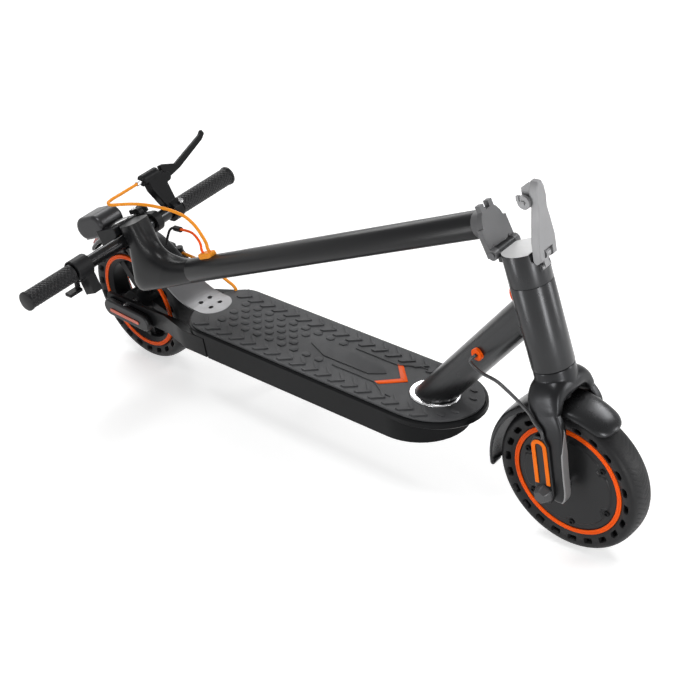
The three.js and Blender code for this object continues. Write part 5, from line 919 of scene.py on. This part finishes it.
# %% Stem tube, forged head and handlebar
STEM_END, STEM_RADIUS, STEM_AXIS, STEM_BORE = -0.701, 0.0179, 0.0333, 0.0149
HEAD_INNER, HEAD_CURVE, HEAD_KICK, HEAD_KICK_TOP = -0.658, 0.062, 0.031, 0.088
HEAD_TOP_Z, HEAD_HALF, HEAD_TAPER = 0.1238, 0.0203, 0.0015
BEND_IN, BEND_SHARE, KICK_ROUND, KICK_LEAN = 0.003, 0.72, 0.016, 0.002
SQUARE_RATE, SQUARE_POWER = 3, 0.7
TUBE_LOW, TUBE_HIGH = 0.022, 0.6

def stem_head_points(count=90, around=96):
    """Rings between the inner and outer outlines, whose power falls from a circle's to a rounded square's."""
    low, top = STEM_AXIS - STEM_RADIUS, STEM_AXIS + STEM_RADIUS
    t = np.linspace(0, 1, 40)[:, None]
    bend = curve_past(np.array([HEAD_INNER + HEAD_CURVE, top]), np.array([HEAD_INNER + BEND_IN, top]),
                      np.array([HEAD_INNER, top + HEAD_CURVE * BEND_SHARE]), t)
    corner = np.array([STEM_END - HEAD_KICK, low])
    kick = curve_past(corner + [KICK_ROUND, 0], corner, corner + [KICK_LEAN, KICK_ROUND], t)
    inner = np.vstack([bend, [HEAD_INNER - HEAD_TAPER, HEAD_TOP_Z]])
    outer = np.vstack([[HEAD_INNER + HEAD_CURVE, low], kick, [STEM_END, HEAD_KICK_TOP],
                       [STEM_END, HEAD_TOP_Z]])
    inner, outer = even_line(inner, count), even_line(outer, count)
    middle, reach = (inner + outer) / 2, (inner - outer) / 2
    squared = np.clip(np.linspace(0, 1, count)[:, None] * SQUARE_RATE, 0, 1)
    power, half = 2 / (2 + SQUARE_POWER * squared), STEM_RADIUS + (HEAD_HALF - STEM_RADIUS) * squared
    turn = full_turn(around).T
    up, side = signed_power(np.cos(turn), power), half * signed_power(np.sin(turn), power)
    points = np.stack([middle[:, :1] + reach[:, :1] * up, side, middle[:, 1:] + reach[:, 1:] * up], -1)
    return closed_ends(points, points[0].mean(0), points[-1].mean(0))

wall = [[STEM_BORE, TUBE_LOW], [STEM_RADIUS, TUBE_LOW], [STEM_RADIUS, TUBE_HIGH], [STEM_BORE, TUBE_HIGH]]
tube = np.roll(around_column(rounded(wall, 0.0004, 3), 128), 1, -1) * [-1, 1, 1] + [0, 0, STEM_AXIS]
stem_paint = finish("stem_paint", (0.0105, 0.0107, 0.0115), 0.3, 0, 0.06, 0.02, 2200, 0.02, specular=0.2)
dress(grid_piece("stem_tube_drawn", stem.put(tube), True, True, 50), stem_paint, "stem_tube")
head = grid_piece("stem_head_forged", stem.put(stem_head_points()), False, True, 70)
dress(head, stem_paint, None, "stem", "satin_black")
BAR_PLACE, BAR_HALF, BAR_RADIUS = (-0.700, 0, 0.1024), 0.2078, 0.010
bar = rounded([[0, -BAR_HALF], [BAR_RADIUS, -BAR_HALF], [BAR_RADIUS, BAR_HALF], [0, BAR_HALF]], 0.001, 4)
bar_paint = finish("bar_paint", (0.028, 0.0285, 0.03), 0.24, 0.8, 0.05, 0.02, 2200, 0.02)
dress(turned_piece("handlebar_drawn", stem, bar, 72, at=BAR_PLACE), bar_paint, "handlebar")
edged("cable_grommet", amber_sleeve, 0.0005)
print("handlebar", 2 * BAR_HALF, "m wide")

# %% [markdown]
# The controls are small moulded cases: display pod, throttle, brake perch and bell. Remeshing
# gives the soft corners of a mould, and the buttons and levers keep a crisp bevel. The pod also
# has a glossier shell: a stadium whose outline is drawn in by a quarter circle at each side.

# %% Controls on the handlebar
POD_NOSE, POD_TAIL, POD_LOW, POD_HIGH, POD_HALF, POD_ROUND = -0.7280, -0.7912, 0.1146, 0.1502, 0.0232, 0.006

def pod_points(around=120, across=13):
    """A stadium drawn in by a quarter circle's inset at each side, and closed to its middle line."""
    radius = (POD_HIGH - POD_LOW) / 2
    turn = full_turn(around).T
    shift = np.where(np.cos(turn) >= 0, POD_NOSE - radius, POD_TAIL + radius)
    quarter = np.linspace(0, np.pi / 2, across)
    inset, y = POD_ROUND * (1 - np.sin(quarter)), POD_HALF - POD_ROUND * (1 - np.cos(quarter))
    reach = radius - np.concatenate([[radius], inset, inset[::-1], [radius]])[:, None]
    y = np.concatenate([[-POD_HALF], -y, y[::-1], [POD_HALF]])[:, None]
    height = POD_LOW + radius + reach * np.sin(turn)
    return np.stack([shift + reach * np.cos(turn), y + 0 * turn, height], -1)

cast("display_pod", moulded_black, 0.0007, 5)
pod_shell = grid_piece("display_pod_shell", stem.put(pod_points()), False, True, 60)
dress(pod_shell, pod_black, None, "stem", "black_plastic")
for node, material, grain, smoothing in (
        ("throttle_housing", dull_black, 0.0007, 4), ("brake_perch", satin_black, 0.0006, 3),
        ("brake_lever", satin_black, 0.0006, 3), ("bell_base", dull_black, 0.0006, 3)):
    cast(node, material, grain, smoothing)
for node, material, width in (
        ("display", dark_lens, 0.0004), ("headlight", dark_lens, 0.0005),
        ("power_button", orange_plastic, 0.0005), ("throttle_paddle", dull_black, 0.0008),
        ("bell_lever", dull_black, 0.0006)):
    edged(node, material, width)
print("pod", round(POD_HIGH - POD_LOW, 4), "m high")

# %% [markdown]
# The grips are rubber sleeves with a fine pattern of scales, a thin flange at the inner end and
# a plain end cap. The scales are lens shaped dents in staggered rows, taken off the radius.

# %% Rubber grips with their scales
GRIP_RADIUS, GRIP_END_RADIUS, GRIP_END, GRIP_TIP, GRIP_BORE = 0.0138, 0.0146, 0.004, 0.211, 0.0104
RIGHT_LENGTH, LEFT_LENGTH = 0.088, 0.111
GRIP_STEP, FINE_EDGE, WIDE_EDGE, TIP_EDGE = 0.00055, 0.0004, 0.0012, 0.0003
SCALES_ROUND, SCALE_LENGTH, SCALE_DEPTH = 15, 0.0066, 0.00085
SCALE_POWER, SCALE_TOP, SCALE_FALL, SCALES_FROM, SCALES_TO = 1.6, 1.1, 1.25, 0.004, 0.001

def grip_points(length, steps=300):
    """Radius over y and turn: a sleeve less staggered dents, a plain cap, and both ends closed at the axis."""
    start, cap, wide = GRIP_TIP - length, GRIP_TIP - GRIP_END, GRIP_END_RADIUS
    sleeve = np.linspace(start + FINE_EDGE, cap, int(length / GRIP_STEP))
    y = np.hstack([start, start, start, sleeve,
                   cap + FINE_EDGE, GRIP_TIP - WIDE_EDGE, GRIP_TIP - TIP_EDGE, GRIP_TIP, GRIP_TIP])[None]
    radius = np.hstack([0, GRIP_BORE, GRIP_RADIUS - FINE_EDGE, np.full(len(sleeve), GRIP_RADIUS),
                        wide, wide, wide - FINE_EDGE, wide - WIDE_EDGE, 0])[None]
    turn = full_turn(steps)
    dents = 0
    for shift in (0, 1):
        across = ((turn / (2 * np.pi) * SCALES_ROUND + shift / 2) % 1 - 0.5) * 2
        along = (((y - start) / SCALE_LENGTH + shift / 2) % 1 - 0.5) * 2
        dent = SCALE_TOP - (np.abs(across) ** SCALE_POWER + np.abs(along) ** SCALE_POWER) * SCALE_FALL
        dents = np.maximum(dents, np.clip(dent, 0, 1))
    inside = (y > start + SCALES_FROM) & (y < cap - SCALES_TO)
    return spun(radius - SCALE_DEPTH * dents * inside, y, turn)

for node, length, side in (("grip_right", RIGHT_LENGTH, -1), ("grip_left", LEFT_LENGTH, 1)):
    points = grip_points(length) * [1, side, 1] + np.array(BAR_PLACE)
    dress(grid_piece(node + "_sleeve", stem.put(points), True, False, 50), soft_rubber, node)
print("grips", RIGHT_LENGTH, "and", LEFT_LENGTH, "m long")

# %% [markdown]
# Small bright screws hold the brake perch and the bell to the bar, and a bright ferrule ends the
# brake cable's sleeve. They are turned heads with a socket.

# %% Screws and ferrule on the bar
PERCH_SCREW, BELL_SCREW, FERRULE_PLACE = (-0.6835, 0.0955, 0.1115), (-0.7135, 0.033, 0.1318), (-0.700, 0, 0.164)
FERRULE_BORE, FERRULE_RADIUS, FERRULE_IN, FERRULE_OUT = 0.0026, 0.0038, 0.0475, 0.0575
tilted = stem.ahead * 0.75 + stem.up * 0.66
axes = Axes(stem.put(PERCH_SCREW), np.cross(stem.left, tilted), tilted, stem.left)
screw_heads("perch_screw", axes, [(0, 0, 0)], 1, 0.0042, 0.003, "stem", "satin_black", bright_steel)
axes = Axes(stem.put(BELL_SCREW), stem.ahead, stem.up, stem.left)
screw_heads("bell_screw", axes, [(0, 0, 0)], 1, 0.0036, 0.0022, "bell_lever", "dull_plastic", bright_steel)
ferrule = rounded([[FERRULE_BORE, FERRULE_IN], [FERRULE_RADIUS, FERRULE_IN], [FERRULE_RADIUS, FERRULE_OUT],
                   [FERRULE_BORE, FERRULE_OUT]], 0.0005, 3)
ferrule_piece = turned_piece("cable_ferrule", stem, ferrule, 32, at=FERRULE_PLACE)
dress(ferrule_piece, bright_steel, None, "stem", "satin_black")
print("ferrule", round(FERRULE_OUT - FERRULE_IN, 4), "m long")

# %% [markdown]
# Four cables run outside the scooter and both their ends go into it. Each is a round tube on a smooth curve
# through its route's points, and its measured length is printed beside its real one. The lamp's cable is orange as
# far as a small joiner and black from there on, so it is two cords.

# %% Cables of the brakes and the lamp
MM = 1000
BRAKE_CABLE_RADIUS, LAMP_CABLE_RADIUS, JOINER_RADIUS = 0.0024, 0.0019, 0.0042
BRAKE_ROUTE = [(-700, 52.7, 164), (-699, 42, 164), (-693, 14, 165), (-685, -18, 166.3), (-682, -25, 165.5),
               (-678, -27, 163), (-671, -23, 160), (-658, -13, 154.5), (-641, -3, 147), (-615, 4, 135.7),
               (-593, 7, 125.4), (-571.5, 8, 112.4), (-557.6, 7, 96.7), (-549.5, 5, 79.1), (-544.5, 2, 68),
               (-543.5, 0, 63.3), (-543.5, 0, 57.3)]
REAR_ROUTE = [(172, 46, 136), (172, 46, 142), (171.4, 46, 147), (167, 46, 151.5), (156, 45.8, 156),
              (140, 45, 163.5), (112, 42, 175), (92, 38.5, 183), (79, 36.4, 185.6), (69.5, 36.2, 185.8)]
LAMP_ROUTE = [(-558.5, 0, 57.3), (-558.5, 0.6, 63.3), (-559.5, 3.4, 69), (-567, 8, 78), (-579, 12.5, 85.4),
              (-596, 16.5, 89.4), (-617, 20.6, 92.6)]
TAIL_ROUTE = [(-617, 20.6, 92.6), (-630, 24, 94.6), (-642, 25.4, 92), (-651, 24.8, 85), (-657, 22.6, 77),
              (-659, 20.8, 72)]
JOINER_ROUTE = [(-608.5, 18.4, 91.4), (-617, 20.6, 92.6), (-625.5, 22.8, 93.8)]

def put_cable(node, axes, points, radius, count, material, length, name=None):
    """The route as a smooth curve and its tube, with its measured length printed beside the stated one."""
    name = name or node + "_sleeve"
    path = smooth_path(np.array(points, float) / MM, count)
    piece = dress(tube_piece(name, axes, path, radius, 18), material, node)
    route = axes.put(path)
    print(name, "measures", round(path_length(route), 4), "m and is stated as", length)

put_cable("brake_cable", stem, BRAKE_ROUTE, BRAKE_CABLE_RADIUS, 260, amber_sleeve, 0.276)
put_cable("rear_brake_cable", deck, REAR_ROUTE, BRAKE_CABLE_RADIUS, 120, amber_sleeve, 0.122)
joiner = tube_piece("lamp_cable_joiner", stem, smooth_path(np.array(JOINER_ROUTE) / MM, 24), JOINER_RADIUS, 24)
dress(joiner, moulded_black, None, "stem", "black_plastic")
put_cable("lamp_cable", stem, LAMP_ROUTE, LAMP_CABLE_RADIUS, 110, orange_plastic, 0.080)
put_cable("lamp_cable", stem, TAIL_ROUTE, LAMP_CABLE_RADIUS, 80, soft_rubber, 0.054, name="lamp_cable_tail")

# %% [markdown]
# The motor's cable leaves the head of the deck, passes the fork on its right and enters the fork cover. Its end is
# put where the turned fork carries it, and its start on the frame.

# %% Motor cable that crosses the steering
MOTOR_ROUTE = [(749.4, -26.4, 261.6), (749.4, -30.4, 261.6), (745, -34.4, 255.6), (752, -36, 249.5),
               (765, -38, 246.5), (793.8, -41, 245), (810.7, -43, 239.4), (826.7, -45, 232.8), (841, -47, 226),
               (851.4, -48.5, 219.5), (857.5, -49.5, 211.5)]
STEERED_END, MOTOR_CABLE_RADIUS = (864, -50.2, 192), 0.0023

def steered(place):
    """A place for straight steering, turned with the fork: arm cos + axis x arm sin + axis part (1 - cos)."""
    turn = -math.atan2(wheel_left[0], wheel_left[1])
    arm = deck.put(np.array(place) / MM) - column.origin
    upright = steer_up * np.dot(steer_up, arm) * (1 - math.cos(turn))
    return column.origin + arm * math.cos(turn) + np.cross(steer_up, arm) * math.sin(turn) + upright

end = steered(STEERED_END)
route = [*deck.put(np.array(MOTOR_ROUTE) / MM), end + [-0.0015, 0, 0.009], end + [0, 0, -0.001]]
path = smooth_path(route, 170)
motor_lead = tube_piece("motor_cable_sleeve", Axes((0, 0, 0)), path, MOTOR_CABLE_RADIUS, 18)
motor_lead.data.materials.append(lead_rubber)
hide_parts("motor_cable")
print("motor cable measures", round(path_length(path), 4), "m")
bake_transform(motor_lead)

# %% [markdown]
# A few solids sit inside others and never show: the battery and the motor's windings. They keep
# the CAD mesh and take a finish of their own.

# %% Finishes of the hidden solids
for node, material in (("battery_pack", battery_wrap), ("motor_stator", copper_wire)):
    for place in frame["nodes"][node].material_slots:
        place.material = material
    print(node, "takes", material.name)

# %% [markdown]
# The picture was taken on white, with a faint grey shadow under the wheels. The floor is a large
# pale sheet that looks white to the camera and to reflections, and stays grey for light. Near the
# scooter more of its brightness comes from the lamps, so that the shadow shows.

# %% Floor and backdrop
FLOOR_LIFT, FAR_LIFT, FLOOR_NEAR, FLOOR_FAR = 0.55, 0.82, 0.7, 2.2
FLOOR_HALF, FLOOR_DROP = 30.0, 0.0004

def seen_directly(graph):
    """1 for camera, glossy and transmission rays, else 0: the largest of Light Path's three switches."""
    seen = graph.add("LightPath", "Is Camera Ray")
    for kind in ("Is Glossy Ray", "Is Transmission Ray"):
        seen = graph.add("Math", 0, {0: seen, 1: graph.add("LightPath", kind)}, operation="MAXIMUM")
    return seen

def pale_ground():
    """A diffuse floor that also shines by itself for directly seen rays, less near the scooter."""
    material = bpy.data.materials.new("pale_ground")
    graph = Graph(material)
    place = graph.add("TexCoord", "Object")
    noise = graph.add("TexNoise", "Fac", {"Vector": place, "Scale": 3})
    shade = graph.add("ValToRGB", "Color", {"Fac": noise})
    for element, grey in zip(shade.node.color_ramp.elements, (0.78, 0.8)):
        element.color = (grey, grey, grey, 1)
    away = graph.add("VectorMath", "Value", {0: place}, operation="LENGTH")
    lift = graph.spread(away, FLOOR_LIFT, FAR_LIFT, FLOOR_NEAR, FLOOR_FAR)
    graph.set(graph.nodes["Principled BSDF"], {
        "Base Color": shade, "Roughness": 0.9, "Specular IOR Level": 0.0, "Emission Color": (1, 1, 1, 1),
        "Emission Strength": graph.spread(seen_directly(graph), 0, lift)})
    return material

corners = np.array([[x, y, 0] for x, y in ((-1, -1), (1, -1), (1, 1), (-1, 1))], float) * FLOOR_HALF
corners[:, 2] = deck.origin[2] - FLOOR_DROP
floor_mesh = bpy.data.meshes.new("floor")
floor_mesh.from_pydata(corners.tolist(), [], [[0, 1, 2, 3]])
floor_mesh.materials.append(pale_ground())
floor = new_object("floor", floor_mesh)
print("floor at", round(float(corners[0, 2]), 4), "m")

# %% [markdown]
# Soft boxes above, behind on the left and over the far side of the front wheel light the tops,
# and leave the near sides dark. Three low upright strips draw the long highlights down the
# column. Their sum and the pale world light a surface at about the level of its written colour.

# %% Lamps
centre = deck.put([0.45, 0, 0.2])
column_middle = column.put([0, 0, 0.24])

def from_angles(azimuth, elevation, distance):
    """A place at a distance from the middle of the deck, by its bearing and height in degrees."""
    azimuth, elevation = math.radians(azimuth), math.radians(elevation)
    level = np.array([math.cos(azimuth), math.sin(azimuth)]) * math.cos(elevation)
    return centre + distance * np.array([*level, math.sin(elevation)])

def beside_column(azimuth, distance, height):
    """A place at a level distance from the middle of the column, at a height over the floor."""
    azimuth = math.radians(azimuth)
    level = column_middle[:2] + distance * np.array([math.cos(azimuth), math.sin(azimuth)])
    return np.array([*level, deck.origin[2] + height])

# Name, place, aim, width and height in metres, and power in watts.
for name, place, aim, wide, high, power in (
        ("top_box", from_angles(-111, 77, 2.2), centre, 0.7, 0.7, 18),
        ("wheel_box", column_middle + [0.08, 0.95, 0.62], column_middle, 0.5, 0.3, 6),
        ("back_box", from_angles(150, 32, 2.3), centre, 1.5, 0.7, 16),
        ("near_left_strip", beside_column(-110, 1.0, 0.30), column_middle, 0.14, 0.6, 3.2),
        ("near_strip", beside_column(-18, 1.0, 0.30), column_middle, 0.16, 0.6, 4.6),
        ("right_strip", beside_column(42, 1.2, 0.34), column_middle, 0.25, 0.6, 4.2)):
    lamp = bpy.data.lights.new(name, "AREA")
    lamp.shape, lamp.energy, lamp.size, lamp.size_y = "RECTANGLE", power, wide, high
    facing = (Vector(aim) - Vector(place)).to_track_quat("-Z", "Y")
    new_object(name, lamp).matrix_world = Matrix.Translation(place) @ facing.to_matrix().to_4x4()
print("lamps", len(bpy.data.lights))

# %% [markdown]
# The world is white at the horizon and greyer higher up, which gives smooth metal a soft fall of
# tone. Seen directly or in a reflection it is bright, and as a light it is weak.

# %% World
WORLD_LIGHT, WORLD_SEEN = 0.25, 1.0
HORIZON_Z, HIGH_Z, HIGH_GREY = 0.12, 0.6, 0.5
studio = bpy.data.worlds.new("studio")
graph = Graph(studio)
height = graph.add("SeparateXYZ", "Z", {"Vector": graph.add("TexCoord", "Generated")})
graph.set(graph.nodes["Background"], {
    "Color": graph.spread(height, 1.0, HIGH_GREY, HORIZON_Z, HIGH_Z),
    "Strength": graph.spread(seen_directly(graph), WORLD_LIGHT, WORLD_SEEN)})
bpy.context.scene.world = studio
bpy.context.scene.view_settings.view_transform = "Standard"
print("world", studio.name, "of strength", WORLD_LIGHT)
